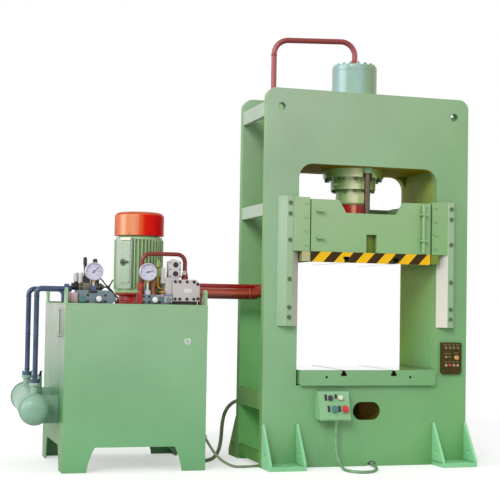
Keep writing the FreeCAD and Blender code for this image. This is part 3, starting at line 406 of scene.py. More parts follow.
# Painted light and shade: the rear plate's front face is painted lighter than the frame to make up for its
# shade, and olive behind the window.
back_lit_and_shaded_enamel = enamel("back_lit_and_shaded_enamel", shaded_inside((156, 188, 152)), shaded_inside((126, 198, 118)), 0.2, 2.7,
                     shade_tone=(92, 160, 72), depth=0.25)
# Painted shade: the front plate's window edges in a duller, more olive green.
edge_shade_enamel = enamel("edge_shade_enamel", (132, 166, 92), (112, 166, 88), 0.7, 2.1, rough=0.5, depth=0.4)
end_enamel = enamel("end_enamel", (150, 184, 140), (116, 160, 92), 0.2, 2.6, rough=0.6, depth=0.3, shine=0.08)
# Painted shade: the oval hole's rim in dark mottled olive.
rim_shade = worn("rim_shade", ((72, 78, 8), (94, 102, 22), 6), 0.6, (80, 0.2), shine=0.08)
for node, inside in (("front_frame_plate", edge_shade_enamel), ("rear_frame_plate", reveal_shade_enamel)):
    plate = refined(node, press_enamel, 0.003)
    face_finish(plate, inside, lambda c, n: (
        abs(c.x) < WINDOW_HALF and c.z > 0.70 and (c.x * n.x < -0.2 or n.z < -0.5)))
    face_finish(plate, rim_shade, lambda c, n: abs(c.x) < 0.5 and 0.2 < c.z < 0.56 and abs(n.y) < 0.3)
    face_finish(plate, back_lit_and_shaded_enamel, lambda c, n: n.y < -0.9 and c.y > 0.25)
    face_finish(plate, end_enamel, lambda c, n: n.x < -0.9 and c.x < -0.7)
    face_finish(plate, under_shade_enamel, lambda c, n: abs(c.x) < 0.50 and c.z > 2.1 and n.z < -0.8)

# ------------------------------------------------------------------ webs, crown, tie bars and bed
# The plates are joined by upright webs, two crown plates, four pairs of tie bars and the bed's box. All
# are steel plate, welded in and sprayed with the frame.
refined("crown_top_plate", press_enamel, 0.0025)
# Painted light and shade: the tie bars are pale high up and darker olive low down; the low bars and the bed's
# side faces take a darker painted shade.
bar_enamel = enamel("bar_enamel", (170, 188, 166), (90, 146, 62), 0.4, 1.75, depth=0.2)
low_bar_shade_enamel = enamel("low_bar_shade_enamel", (124, 166, 98), (96, 152, 72), 0.1, 0.6, rough=0.6, depth=0.4,
                        shine=0.08)
bars = refined("column_tie_bars", bar_enamel, 0.0025)
face_finish(bars, low_bar_shade_enamel, lambda c, n: c.z < 1.0)
# The bed box's inside faces in a mottled yellow-orange.
bed_inside_tone = worn("bed_inside_tone", ((204, 140, 30), (208, 192, 42), 3), 0.6, (80, 0.2), shine=0.08)
bed = refined("bed_box", press_enamel, 0.0025, merge_flats=False)
face_finish(bed, bed_inside_tone, lambda c, n: abs(c.y) < 0.256)
face_finish(bed, low_bar_shade_enamel, lambda c, n: abs(n.x) > 0.9 and c.x * n.x > 0.4)
# Painted light: the webs are painted lighter than the frame to make up for the shade between the plates;
# their reveals and undersides take the painted shade.
web_lit_enamel = enamel("web_lit_enamel", (152, 196, 146), (130, 204, 120), 0.2, 2.3, shade_tone=(92, 160, 72), depth=0.25)
for node in ("left_column_web", "right_column_web", "crown_bottom_plate"):
    plate = refined(node, web_lit_enamel, 0.0025)
    face_finish(plate, reveal_shade_enamel, lambda c, n: abs(c.x) < WINDOW_HALF and c.x * n.x < -0.2)
    face_finish(plate, under_shade_enamel, lambda c, n: abs(c.x) < WINDOW_HALF and n.z < -0.5)

# ------------------------------------------------------------------ weld beads
# Rippled beads where the webs, bars and foot gussets meet the plates. They were welded by hand and then
# painted over, so they are only a little rougher than the rest.
TIE_BARS = ((0.030, 0.080), (0.412, 0.126), (1.804, 0.090), (2.526, 0.104))    # lower end and height
# Like the frame's paint, paler high up as a painted light.
weld_enamel = enamel("weld_enamel", (146, 176, 141), (100, 156, 100), 0.0, 2.75, rough=0.46)
grain(weld_enamel, 130, 0.55, 0.002)
weld_runs = []
for side in (-1, 1):
    for end in (-1, 1):
        weld_runs.append(((side * 0.573, end * 0.257, 0.07), (side * 0.573, end * 0.257, 2.68)))
        for low, tall in TIE_BARS:
            for z in (low - 0.002, low + tall + 0.002):
                weld_runs.append(((side * 0.762, end * 0.258, z), (side * 0.794, end * 0.258, z)))
            x, y = side * 0.758, end * 0.258
            weld_runs.append(((x, y, low), (x, y, low + tall)))
        for x in (side * 0.522, side * 0.546, side * 0.778):
            weld_runs.append(((x, end * 0.328, 0.036), (x, end * 0.328, 0.305)))
            weld_runs.append(((x, end * 0.330, 0.034), (x, end * 0.505, 0.034)))


def weld_beads(name, runs, wide, finish):
    """Half-buried beads, each a line of small overlapping drops drawn along its run."""
    line = bpy.data.curves.new(name, "CURVE")
    line.dimensions = "3D"
    line.bevel_depth = wide
    line.bevel_resolution = 2
    for start, stop in runs:
        run = Vector(stop) - Vector(start)
        steps = max(2, int(run.length / 0.009))
        drops = line.splines.new("POLY")
        drops.points.add(steps)
        for i, point in enumerate(drops.points):
            point.co = (*(Vector(start) + run * i / steps), 1)
            point.radius = 0.78 if i % 2 else 1.0
    piece = put(name, line)
    take_only(piece)
    bpy.ops.object.convert(target="MESH")
    bpy.ops.object.shade_smooth()
    hang(piece, finish)


weld_beads("frame_weld_beads", weld_runs, 0.0042, weld_enamel)

# ------------------------------------------------------------------ feet
# Four welded feet, each a thick sole plate under two drilled gussets, in the frame's enamel, painted lighter
# on the front feet as a painted light and darker on the rear feet as a painted shade. The soles take anchor
# bolts.
lit_foot_enamel = enamel("lit_foot_enamel", (142, 206, 156), (134, 202, 148), 0.0, 0.4, depth=0.10, reach=0.12)
shaded_enamel = enamel("shaded_enamel", (112, 150, 84), (92, 138, 66), 0.0, 0.4, rough=0.6, depth=0.3,
                       reach=0.12, shine=0.08)
for end, foot_finish in (("front", lit_foot_enamel), ("rear", shaded_enamel)):
    for side in ("left", "right"):
        refined(f"{end}_{side}_foot", foot_finish, 0.0025)

# ------------------------------------------------------------------ table
# The bed's T-slotted table. Its top is ground bright and lightly oiled, its slots are dark, and
# its edges are enamelled.
UP = (0, 0, 1)
SLOT_DEEP_TONE = (46, 40, 4)
BRIGHT = (250, 250, 248)


def base_across(made, *run):
    """Base colour that runs across the piece."""
    shade(made, {"Base Color": run_across(made, *run)})


def slot_mouth(name, low, low_tone, high, high_tone):
    """Slot wall that is worn bright at its mouth and dark further in."""
    made = worn(name, None, 0.3)
    base_across(made, UP, low, high, [(0.0, low_tone), (1.0, high_tone)])
    return made


def in_slot(c, n):
    return 0.13 < abs(c.x) < 0.26 and abs(n.y) < 0.5


table_steel = worn("table_steel", ((240, 240, 238), (250, 250, 248), 6), (8, 0.12, 0.20),
                   (40, 0.02, 0.0003, (1, 12, 1)), metal=1.0)
slot_dark = worn("slot_dark", ((38, 34, 2), (56, 48, 8), 14), 0.6, (80, 0.1))
table_mouth = slot_mouth("table_mouth", 0.6930, SLOT_DEEP_TONE, 0.6955, BRIGHT)
table = refined("table", press_enamel, 0.0012)
face_finish(table, table_steel, lambda c, n: n.z > 0.9)
face_finish(table, slot_dark, lambda c, n: in_slot(c, n) and 0.64 < c.z < 0.6995)
face_finish(table, table_mouth, lambda c, n: in_slot(c, n) and 0.68 < c.z < 0.69999 and abs(n.x) > 0.2)

# ------------------------------------------------------------------ guide gibs
# Four upright guide bars. Their flats and backs are enamelled with the frame and their slanting faces,
# on which the shoes run, are ground bright.
gib_steel = worn("gib_steel", None, 0.46, (60, 0.05, 0.0004, (1, 1, 0.05)), metal=0.25)
base_across(gib_steel, UP, 1.0, 1.95, [
    (0.0, (206, 203, 192)), (0.55, (199, 197, 186)), (0.60, (172, 190, 160)), (1.0, (160, 184, 150))])
gib_enamel = enamel("gib_enamel", (158, 184, 148), (142, 176, 134), 1.0, 1.95, depth=0.3)
# Painted reflection: the gibs' outer sides are painted greyer, the sky's sheen on the lit left one.
flank_sheen_grey = enamel("flank_sheen_grey", (152, 176, 150), (140, 170, 136), 1.0, 1.95, depth=0.2)
gibs = refined("guide_gibs", gib_enamel, 0.0016)
face_finish(gibs, flank_sheen_grey, lambda c, n: abs(n.x) > 0.75 and n.x * c.x > 0)
face_finish(gibs, gib_steel, lambda c, n: abs(abs(n.x) - 0.707) < 0.03 and n.x * c.x < 0)

# ------------------------------------------------------------------ screws
# Hexagon heads of the gibs, the cylinder's flange and foot ring and its cap. They are painted with the frame,
# darker, and each gib screw sits on a washer.
FRONT = (0, -1, 0)
REAR = (0, 1, 0)
GIB_SCREW_HEIGHTS = (1.077, 1.148, 1.350, 1.630, 1.818, 1.895)
# Painted shade: screw heads are painted darker than the frame.
screw_shade_enamel = enamel("screw_shade_enamel", (78, 104, 66), (66, 98, 58), 0.9, 3.0)
heads = refined("frame_screws", screw_shade_enamel, 0.0016, sharp=50)


def turned(name, rings, sides=32, heading=UP, place=(0, 0, 0)):
    """A round piece: a disc drawn out ring by ring, each ring a radius and a distance along its axis."""
    bpy.ops.object.select_all(action="DESELECT")
    wide, far = rings[0]
    bpy.ops.mesh.primitive_circle_add(vertices=sides, radius=wide, fill_type="NGON", location=(0, 0, far))
    piece = bpy.context.object
    piece.name = name
    bpy.ops.object.transform_apply()
    bpy.ops.object.mode_set(mode="EDIT")
    for next_wide, next_far in rings[1:]:
        bpy.ops.mesh.extrude_region_move(TRANSFORM_OT_translate={"value": (0, 0, next_far - far)})
        grow = next_wide / wide
        bpy.ops.transform.resize(value=(grow, grow, 1), center_override=(0, 0, next_far))
        wide, far = next_wide, next_far
    bpy.ops.mesh.select_all(action="SELECT")
    bpy.ops.mesh.normals_make_consistent(inside=False)
    bpy.ops.object.mode_set(mode="OBJECT")
    piece.rotation_euler = Vector(heading).to_track_quat("Z", "Y").to_euler()
    piece.location = place
    bpy.ops.object.transform_apply()
    bpy.ops.object.shade_smooth_by_angle(angle=math.radians(32))
    return piece


def joined(pieces, name):
    take_only(*pieces)
    bpy.ops.object.join()
    bpy.context.object.name = name
    return bpy.context.object


def set_out(piece, name, spots):
    """Copies a piece to each spot, a point or a matrix, each with its own mesh, and joins the copies."""
    made = []
    for spot in spots:
        one = put(name, piece.data.copy())
        one.data.transform(spot if isinstance(spot, Matrix) else Matrix.Translation(spot))
        made.append(one)
    bpy.data.objects.remove(piece)
    return joined(made, name)


def turned_set(name, rings, sides, heading, spots, finish, face=None):
    """One turned piece, copied to each spot and hung as one."""
    hang(set_out(turned(name + "_one", rings, sides, heading), name, spots), finish, face=face)


for end, heading, name in ((-1, FRONT, "front"), (1, REAR, "rear")):
    turned_set(name + "_gib_washers", [(0.019, -0.001), (0.019, 0.002), (0.018, 0.003)], 24, heading,
               [(side * 0.633, end * 0.391, z) for side in (-1, 1) for z in GIB_SCREW_HEIGHTS],
               gib_enamel)

# ------------------------------------------------------------------ cylinder
# The barrel hangs through the crown, with a turned flange below it, a foot ring that holds the gland, and
# a cap on top. Turned, filled and enamelled, it is glossier and bluer than the frame; the blue tones and the
# upright pale bands across it are painted sky reflection and painted highlight.
# The direction across the camera's view, along which painted highlights run on round pieces.
ACROSS_THE_VIEW = (0.957, -0.291, 0)
HIGH_SHEEN_BANDS = (ACROSS_THE_VIEW, -0.171, 0.171, [
    (0.0, (136, 160, 158)), (0.16, (158, 192, 192)), (0.38, (138, 172, 154)), (0.56, (150, 184, 178)),
    (0.78, (122, 158, 114)), (1.0, (124, 146, 104))])
LOW_SHEEN_BANDS = (ACROSS_THE_VIEW, -0.20, 0.20, [
    (0.0, (150, 184, 108)), (0.30, (170, 206, 136)), (0.52, (236, 238, 190)), (0.64, (194, 214, 138)),
    (1.0, (146, 162, 84))])
cylinder_enamel = enamel("cylinder_enamel", HIGH_SHEEN_BANDS, LOW_SHEEN_BANDS, 2.2, 2.8, rough=0.24, shade_tone=(122, 140, 50),
                         depth=0.28, reach=0.12, coat=0.5)
for node in ("cylinder_barrel", "cylinder_cap", "gland_ring"):
    refined(node, cylinder_enamel, 0.0025, sharp=25)
face_finish(heads, cylinder_enamel, lambda c, n: c.z > 2.9)


# ------------------------------------------------------------------ ram and position rod
# The ram has a red oxide coat below its ground part, with a painted highlight: a lit orange edge and a pale
# band down the middle. The position rod beside it is plain steel, painted dark brown for the dark it mirrors,
# a painted reflection.
def ground_steel(name, colour, rough, metal=0.85, along=(1, 1, 1)):
    made = worn(name, None, (30, rough - 0.08, rough + 0.10), (60, 0.12, 0.0005, along), metal=metal)
    light = tone(colour)
    mottle(made, (*[c * 0.82 for c in light[:3]], 1.0), light, 9)
    return made


ram_coat = worn("ram_coat", None, 0.26, (90, 0.06, 0.0005, (1, 1, 8)))
base_across(ram_coat, ACROSS_THE_VIEW, -0.125, 0.125, [
    (0.0, (216, 104, 66)), (0.16, (170, 28, 10)), (0.38, (172, 30, 12)), (0.50, (236, 150, 116)),
    (0.62, (166, 24, 10)), (1.0, (140, 14, 6))])
refined("ram", ram_coat, 0.001, body="slide", sharp=25)
rod_steel = ground_steel("rod_steel", (112, 96, 82), 0.26, along=(1, 1, 10))
refined("position_rod", rod_steel, 0.002, body="slide", sharp=25)

# ------------------------------------------------------------------ slide
# A welded box with a notch for the ram, ears for the guide shoes, and a keyway. Four clips on its face
# hold the trip rod.
# Painted light and shade: paler at the left and up high, darker in its deep corners.
slide_enamel = enamel("slide_enamel", (150, 183, 136), (136, 178, 124), 1.5, 1.95, depth=0.4, light_slant=LIGHT_ACROSS)
for node in ("slide_body", "guide_shoes", "trip_rod"):
    refined(node, slide_enamel, 0.0022, body="slide")

# ------------------------------------------------------------------ bolster
# The slide's T-slotted bolster plate. Its front is painted with slanting yellow and near-black warning
# stripes, its face is ground, and its flanks are enamelled.
STRIPE_PITCH = 0.1673
STRIPE_LEAN = -0.92
STRIPE_START = 0.358
stripe_paint = worn("stripe_paint", None, (40, 0.36, 0.50), (300, 0.10, 0.0006), shine=0.2)
axes = add(stripe_paint, "SeparateXYZ", {0: own_place(stripe_paint)}).outputs
lean = add(stripe_paint, "Math", {0: axes["Z"], 1: STRIPE_LEAN, 2: axes["X"]}, operation="MULTIPLY_ADD")
stripe = add(stripe_paint, "Math", {0: lean.outputs[0], 1: 1 / STRIPE_PITCH, 2: STRIPE_START},
             operation="MULTIPLY_ADD")
turns = add(stripe_paint, "Math", {0: stripe.outputs[0]}, operation="FRACT")
shade(stripe_paint, {"Base Color": ramp(stripe_paint, turns.outputs[0], toned([
    (0.0, (58, 38, 2)), (0.47, (50, 34, 2)), (0.49, (236, 184, 20)), (0.97, (242, 192, 24)),
    (0.985, (238, 188, 22)), (0.995, (58, 38, 2))]))})
bolster_mouth = slot_mouth("bolster_mouth", 1.4805, BRIGHT, 1.4830, SLOT_DEEP_TONE)
bolster = refined("slide_bolster", press_enamel, 0.0012, body="slide")
face_finish(bolster, stripe_paint, lambda c, n: n.y < -0.9 and c.y < -0.38)
face_finish(bolster, slot_dark, lambda c, n: in_slot(c, n) and (abs(n.x) > 0.5 or c.z > 1.48))
face_finish(bolster, bolster_mouth, lambda c, n: in_slot(c, n) and 1.47601 < c.z < 1.495 and abs(n.x) > 0.2)
face_finish(bolster, table_steel, lambda c, n: n.z < -0.9 and c.z < 1.48)

# ------------------------------------------------------------------ push-button box
# A folded steel box on the bed with a slanting lid, four lid screws and a blank plate beside each of
# its four moulded buttons. The conduit leaves through the gland in its floor.
BOX_LEAN = math.atan2(60, 203)
BOX_FACE = Matrix.Translation((0, -0.387, 0.548)) @ Matrix.Rotation(-BOX_LEAN, 4, "X")
box_enamel = enamel("box_enamel", (138, 186, 142), (130, 182, 128), 0.32, 0.56, depth=0.3, reach=0.10)
refined("button_box", box_enamel, 0.0030)


def slab(name, middle, size, eased=0.002, steps=2):
    """A plate or block with eased edges, set by its middle and its size."""
    bpy.ops.object.select_all(action="DESELECT")
    bpy.ops.mesh.primitive_cube_add(size=1, location=middle)
    piece = bpy.context.object
    piece.name = name
    piece.scale = size
    bpy.ops.object.transform_apply()
    ease_edges(piece, eased, steps)
    return piece


def moulded(name, deep, pale, rough=0.22, coat=0.4):
    """Glossy moulded plastic with faint flow marks."""
    spots = (160, rough - 0.04, rough + 0.08)
    return worn(name, (deep, pale, 70, 2.0), spots, (500, 0.05, 0.0002), coat=coat)


bronze = ground_steel("bronze", (186, 182, 132), 0.5, metal=0.2)
# Painted shade: the right wear strip, bronze like the left one, is painted dark olive, and a dark olive sheet
# fills the keyway where its inside is in shade.
keyway_shade_green = enamel("keyway_shade_green", (108, 128, 26), (108, 128, 26), 1.5, 1.7, shade_tone=(76, 76, 4), depth=0.6)
for side, name, finish in ((-1, "left", bronze), (1, "right", keyway_shade_green)):
    strip = slab(name + "_wear_strip", (side * 0.506, -0.350, 1.5165), (0.062, 0.068, 0.071))
    hang(strip, finish, "slide")
keyway = slab("keyway_shade_sheet", (0.006, -0.334, 1.620), (0.100, 0.008, 0.150), 0.001)
hang(keyway, keyway_shade_green, body="slide")

lid = slab("button_box_lid", (-0.2825, -0.0010, -0.1055), (0.226, 0.005, 0.198), 0.0015)
hang(lid, box_enamel, face=BOX_FACE)
bright_steel = ground_steel("bright_steel", (196, 198, 194), 0.28)
turned_set("button_box_screws", [(0.0052, 0), (0.0052, 0.0022), (0.0040, 0.0032), (0.0022, 0.0032),
                                 (0.0018, 0.0012)], 16, FRONT,
           [(x, -0.0030, z) for x in (-0.386, -0.179) for z in (-0.014, -0.197)],
           bright_steel, BOX_FACE)
plate_black = worn("plate_black", ((27, 30, 26), (41, 46, 40), 60), (220, 0.28, 0.44))
blanks = []
for x, down, tall in ((-0.348, 0.046, 0.046), (-0.271, 0.038, 0.034), (-0.331, 0.128, 0.048),
                      (-0.250, 0.128, 0.046)):
    blanks.append(slab("blank", (x, -0.0042, -down), (0.019, 0.0016, tall), 0.0006, 1))
hang(joined(blanks, "button_blank_plates"), plate_black, face=BOX_FACE)

black_moulding = moulded("black_moulding", (16, 18, 18), (30, 32, 32), 0.26)
cream_moulding = moulded("cream_moulding", (214, 208, 186), (234, 228, 208))
green_moulding = moulded("green_moulding", (40, 98, 92), (58, 122, 112))
red_moulding = moulded("red_moulding", (176, 22, 26), (206, 40, 40))
for node, finish, slot in (("black_button", black_moulding, "black_plastic"),
                           ("cream_button", cream_moulding, "cream_plastic"),
                           ("green_button", green_moulding, "green_plastic"),
                           ("red_stop_button", red_moulding, "red_plastic")):
    refined(node, finish, 0.0012, body=node + "_part", sharp=25, steps=3)
for name, x, down, wide in (("black", -0.318, 0.052, 0.040), ("cream", -0.240, 0.052, 0.036),
                            ("green", -0.292, 0.134, 0.046), ("red", -0.210, 0.134, 0.048)):
    half = wide / 2
    collar = turned(name + "_button_collar", [
        (half, 0.003), (half, 0.0078), (half - 0.0015, 0.0092), (0.0125, 0.0092), (0.0125, 0.007),
    ], 40, FRONT, (x, 0, -down))
    hang(collar, bright_steel, face=BOX_FACE)

# ------------------------------------------------------------------ control panel
# A dark enamelled steel box on the right column, with three rows of lamps and buttons in bright rings
# and blank strips between the rows.
PANEL_FACE = -0.350
panel_enamel = worn("panel_enamel", ((50, 50, 4), (72, 52, 8), 18), (120, 0.44, 0.60), (420, 0.10, 0.0004),
                    shine=0.2)
aged_steel = ground_steel("aged_steel", (116, 104, 74), 0.42)
strip_grey = worn("strip_grey", ((92, 78, 34), (118, 106, 60), 90), (90, 0.36, 0.52))
refined("control_panel", panel_enamel, 0.004, steps=3)
rings = []
for x, z, wide in ((0.618, 0.864, 0.026), (0.650, 0.864, 0.026), (0.682, 0.864, 0.026), (0.716, 0.864, 0.026),
                   (0.620, 0.796, 0.020), (0.648, 0.796, 0.020), (0.703, 0.792, 0.041), (0.714, 0.735, 0.024),
                   (0.620, 0.735, 0.027), (0.651, 0.735, 0.027), (0.683, 0.735, 0.027)):
    half = wide / 2
    rings.append(turned("ring", [
        (half, -0.001), (half, 0.003), (half - 0.0010, 0.0042), (half - 0.0021, 0.0042),
        (half - 0.0021, 0.001),
    ], 28, FRONT, (x, PANEL_FACE, z)))
hang(joined(rings, "panel_rings"), aged_steel)
strips = []
for x, z, wide in ((0.618, 0.886, 0.022), (0.650, 0.886, 0.022), (0.682, 0.886, 0.022), (0.716, 0.886, 0.022),
                   (0.634, 0.822, 0.052), (0.703, 0.826, 0.036), (0.620, 0.760, 0.022), (0.651, 0.760, 0.022),
                   (0.683, 0.760, 0.022), (0.714, 0.760, 0.022)):
    strips.append(slab("strip", (x, PANEL_FACE - 0.0006, z), (wide, 0.0018, 0.008), 0.0005, 1))
hang(joined(strips, "panel_blank_strips"), strip_grey)
turned_set("panel_screws", [(0.0042, 0), (0.0042, 0.0018), (0.0030, 0.0026), (0.0018, 0.0026),
                            (0.0014, 0.0010)], 14, FRONT,
           [(x, PANEL_FACE, z) for x in (0.597, 0.737) for z in (0.691, 0.893)],
           aged_steel)


def lens(name, deep, pale):
    """A coloured lamp lens, a little see-through and very glossy."""
    made = worn(name, (deep, pale, 60, 1.0), 0.12, (260, 0.12, 0.0003), coat=0.6)
    shade(made, {"Subsurface Weight": 0.15, "Subsurface Scale": 0.004})
    return made


smoke_lens = lens("smoke_lens", (90, 68, 26), (120, 100, 54))
pale_lens = lens("pale_lens", (150, 118, 84), (178, 148, 110))
amber_lens = lens("amber_lens", (176, 90, 14), (222, 158, 72))
green_lens = lens("green_lens", (56, 88, 26), (72, 106, 36))
dim_cream = moulded("dim_cream", (146, 122, 92), (176, 154, 118))
dim_red = moulded("dim_red", (150, 30, 18), (182, 56, 38))
lamps = refined("panel_lamps", smoke_lens, 0.0022, sharp=25, steps=3)
face_finish(lamps, pale_lens, lambda c, n: c.z < 0.81 and c.x < 0.634 or c.z < 0.75)
face_finish(lamps, green_lens, lambda c, n: 0.78 < c.z < 0.81 and 0.635 < c.x < 0.66)
face_finish(lamps, amber_lens, lambda c, n: 0.76 < c.z < 0.82 and c.x > 0.68)
for node, finish, slot in (("white_button_left", dim_cream, "cream_plastic"),
                           ("red_button", dim_red, "red_plastic"),
                           ("white_button_right", dim_cream, "cream_plastic")):
    refined(node, finish, 0.0010, body=node + "_part", sharp=25)


# ------------------------------------------------------------------ steel pipes
# The two dark red pipes between power unit and cylinder: bent steel tube in glossy enamel, with weld
# necks, nuts at the tank end, and clamps on the column.
def glossy_coat(name, tones, rough, coat):
    """Glossy brushed enamel; tones is deep and pale, or None where a run gives its colour."""
    return worn(name, tones and (*tones, 6), (30, rough - 0.04, rough + 0.10), (120, 0.06, 0.0006), coat=coat)


RIGHT = (1, 0, 0)
pipe_red = glossy_coat("pipe_red_enamel", ((120, 6, 4), (156, 16, 8)), 0.30, 0.25)
# Painted highlight: a pale tan band along the return pipe's low run, a painted reflection.
return_red = glossy_coat("return_red_enamel", None, 0.30, 0.25)
base_across(return_red, UP, 1.199, 1.281, [
    (0.0, (88, 14, 4)), (0.34, (124, 26, 12)), (0.58, (178, 84, 54)), (0.76, (160, 48, 28)),
    (1.0, (140, 12, 6))])
# Painted reflection: the head pipe turns rose up its riser, the sky mirrored in it.
head_red = glossy_coat("head_pipe_enamel", None, 0.30, 0.25)
base_across(head_red, UP, 1.30, 3.22, [
    (0.0, (152, 12, 6)), (0.30, (150, 30, 26)), (0.62, (166, 84, 92)), (0.93, (160, 74, 80)),
    (0.98, (124, 26, 22)), (1.0, (140, 44, 38))])
refined("return_pipe", return_red, 0.0015, sharp=50)
refined("head_pipe", head_red, 0.0015, sharp=50)
pipe_joints = []
for place, heading, radius in (
    ((-1.225, 0.150, 1.292), RIGHT, 0.021), ((-0.715, 0.150, 1.292), RIGHT, 0.021),
    ((-0.598, 0.150, 1.408), UP, 0.021), ((-0.598, 0.150, 3.062), UP, 0.021), ((0, 0, 3.020), UP, 0.021),
    ((-1.225, 0.060, 1.240), RIGHT, 0.041), ((-0.790, 0.060, 1.240), RIGHT, 0.041),
    ((-0.640, 0.060, 1.385), UP, 0.041), ((-0.640, 0.060, 2.360), UP, 0.041),
):
    bead = [(radius, -0.008), (radius + 0.0022, -0.004), (radius + 0.0026, 0), (radius + 0.0022, 0.004),
            (radius, 0.008)]
    pipe_joints.append(turned("joint", bead, 36, heading, place))
hang(joined(pipe_joints, "pipe_weld_rings"), pipe_red)
nuts = []
for place, heading, radius, sides in (
    ((-1.256, 0.150, 1.292), RIGHT, 0.034, 6), ((-1.212, 0.150, 1.292), RIGHT, 0.027, 40),
    ((-1.256, 0.060, 1.240), RIGHT, 0.056, 40), ((0, 0, 3.006), UP, 0.038, 6),
):
    profile = [(radius - 0.003, 0), (radius, 0.003), (radius, 0.021), (radius - 0.003, 0.024),
               (radius - 0.008, 0.024)]
    nuts.append(turned("nut", profile, sides, heading, place))
hang(joined(nuts, "pipe_nuts"), pipe_red)
clamp = [
    slab("clamp", (-0.585, 0.150, 0), (0.030, 0.090, 0.032)),
    turned("clamp", [(0.0212, 0), (0.0262, 0.001), (0.0262, 0.023), (0.0212, 0.024)], 36, UP,
           (-0.598, 0.150, -0.012)),
    slab("clamp", (-0.600, 0.060, 0.04), (0.062, 0.120, 0.034)),
    turned("clamp", [(0.0412, 0), (0.0472, 0.001), (0.0472, 0.025), (0.0412, 0.026)], 44, UP,
           (-0.640, 0.060, 0.027)),
]
hang(set_out(joined(clamp, "clamp"), "pipe_clamps", [(0, 0, 1.62), (0, 0, 2.10)]), press_enamel)

# ------------------------------------------------------------------ oil tank
# A welded sheet-steel tank on four folded legs, its corners folded round, sprayed lighter than the
# press. Its cover is screwed down and has a lug at each corner.
COVER_TOP = 1.152
PLUG_PLACE = (-1.361, -0.350, 0.898)
# Painted light: the tank's paint is paler high up.
tank_enamel = enamel("tank_enamel", (145, 182, 142), (110, 171, 117), 0.05, 1.15, rough=0.34, depth=0.5,
                     reach=0.22)
# Painted light: the left flank, facing the lamps, is painted dark green low down and near white at the top.
FLANK_LIGHT_RISE = (UP, 0.10, 1.14, [
    (0.0, (84, 132, 66)), (0.22, (90, 144, 84)), (0.36, (96, 154, 104)), (0.50, (116, 156, 120)),
    (0.80, (160, 172, 156)), (1.0, (182, 188, 176))])
lit_flank_enamel = enamel("lit_flank_enamel", FLANK_LIGHT_RISE, FLANK_LIGHT_RISE, 0.55, 1.12, rough=0.42, depth=0.2, reach=0.2)
tank = refined("tank", tank_enamel, 0.006, steps=3)
face_finish(tank, lit_flank_enamel, lambda c, n: n.x < -0.7)
refined("tank_cover", tank_enamel, 0.0009)
rim = [(x, 0.632, COVER_TOP) for x in (-2.150, -2.010, -1.870, -1.730, -1.590, -1.450, -1.310)]
rim += [(x, y, COVER_TOP) for y in (-0.180, -0.040, 0.100, 0.240, 0.380, 0.520) for x in (-2.200, -1.236)]
turned_set("cover_screws", [(0.013, -0.001), (0.013, 0.002), (0.0095, 0.0022), (0.0095, 0.009),
                            (0.0085, 0.010), (0.005, 0.010), (0.005, 0.005)], 18, UP,
           rim, screw_shade_enamel)
seams = []
for y in (-0.3468, 0.6468):
    for x0, x1 in ((-2.214, -1.998), (-1.438, -1.222)):
        seams.append(((x0, y, 0.170), (x1, y, 0.170)))
weld_beads("tank_leg_seams", seams, 0.0030, tank_enamel)
boss_place = Vector(PLUG_PLACE) + Vector((0, 0.0005, 0))
hang(turned("drain_boss", [(0.034, -0.004), (0.034, 0.0002)], 40, FRONT, boss_place), tank_enamel)
bright_zinc = ground_steel("bright_zinc", (206, 210, 208), 0.22)
plug = turned("tank_plug", [(0.023, -0.004), (0.023, 0.0000), (0.0225, 0.0003), (0.008, 0.0003),
                            (0.007, -0.003)], 40, FRONT, PLUG_PLACE)
hang(plug, bright_zinc)

# ------------------------------------------------------------------ level gauge
# A level gauge between two steel fittings, in a guard on the tank's left side, painted like the flank.
gauge_metal = ground_steel("gauge_metal", (170, 186, 172), 0.36)
level = refined("level_gauge", lit_flank_enamel, 0.0018)
face_finish(level, gauge_metal, lambda c, n: c.x < -2.239 and 0.945 < c.z < 1.095)

# ------------------------------------------------------------------ pump motor
# A vertical motor on a flange: cast fins with painted shade between them, and a tall smooth terminal housing
# with a screwed cover, a bushed eye and a cream strip below the cowl.
MOTOR_AXIS = (-1.626, 0.100, 0)
MOTOR_FACE = Matrix.Translation(MOTOR_AXIS) @ Matrix.Rotation(math.radians(-48), 4, "Z")
to_motor = MOTOR_FACE.inverted()
motor_enamel = enamel("motor_enamel", (160, 188, 142), (154, 184, 132), 1.2, 1.7, shade_tone=(132, 150, 100),
                      depth=0.45, reach=0.035)
house_enamel = enamel("house_enamel", (172, 188, 168), (160, 180, 156), 1.25, 1.65, rough=0.30, depth=0.3,
                      reach=0.05)
pale_cover = enamel("pale_cover", (168, 186, 160), (156, 180, 150), 1.3, 1.62, rough=0.28, depth=0.2,
                    reach=0.05)
eye_green = worn("eye_green", ((42, 58, 36), (60, 84, 54), 60), 0.4)


def on_housing(c, n):
    spot = to_motor @ c
    return abs(spot.x) < 0.0668 and spot.y < -0.13 and 1.289 < spot.z < 1.629


motor = refined("pump_motor", motor_enamel, 0.0009, sharp=50, steps=1)
face_finish(motor, house_enamel, on_housing)
face_finish(motor, eye_green, lambda c, n: (to_motor @ c).y < -0.1935)
cover = slab("terminal_cover", (0.018, -0.1820, 1.452), (0.080, 0.006, 0.300), 0.0016)
hang(cover, pale_cover, face=MOTOR_FACE)
strip = slab("terminal_strip", (0.018, -0.1830, 1.6165), (0.088, 0.009, 0.020), 0.0016)
hang(strip, cream_moulding, face=MOTOR_FACE)
turned_set("terminal_screws", [(0.0055, 0), (0.0055, 0.0035), (0.0042, 0.0048), (0.0025, 0.0048),
                               (0.0020, 0.0024)], 16, FRONT,
           [(x, -0.1848, z) for x in (-0.015, 0.051) for z in (1.312, 1.402, 1.500, 1.592)],
           bright_steel, MOTOR_FACE)
skirt = slab("terminal_skirt", (0, -0.1454, 1.2738), (0.131, 0.071, 0.0315), 0.003)
hang(skirt, house_enamel, face=MOTOR_FACE)
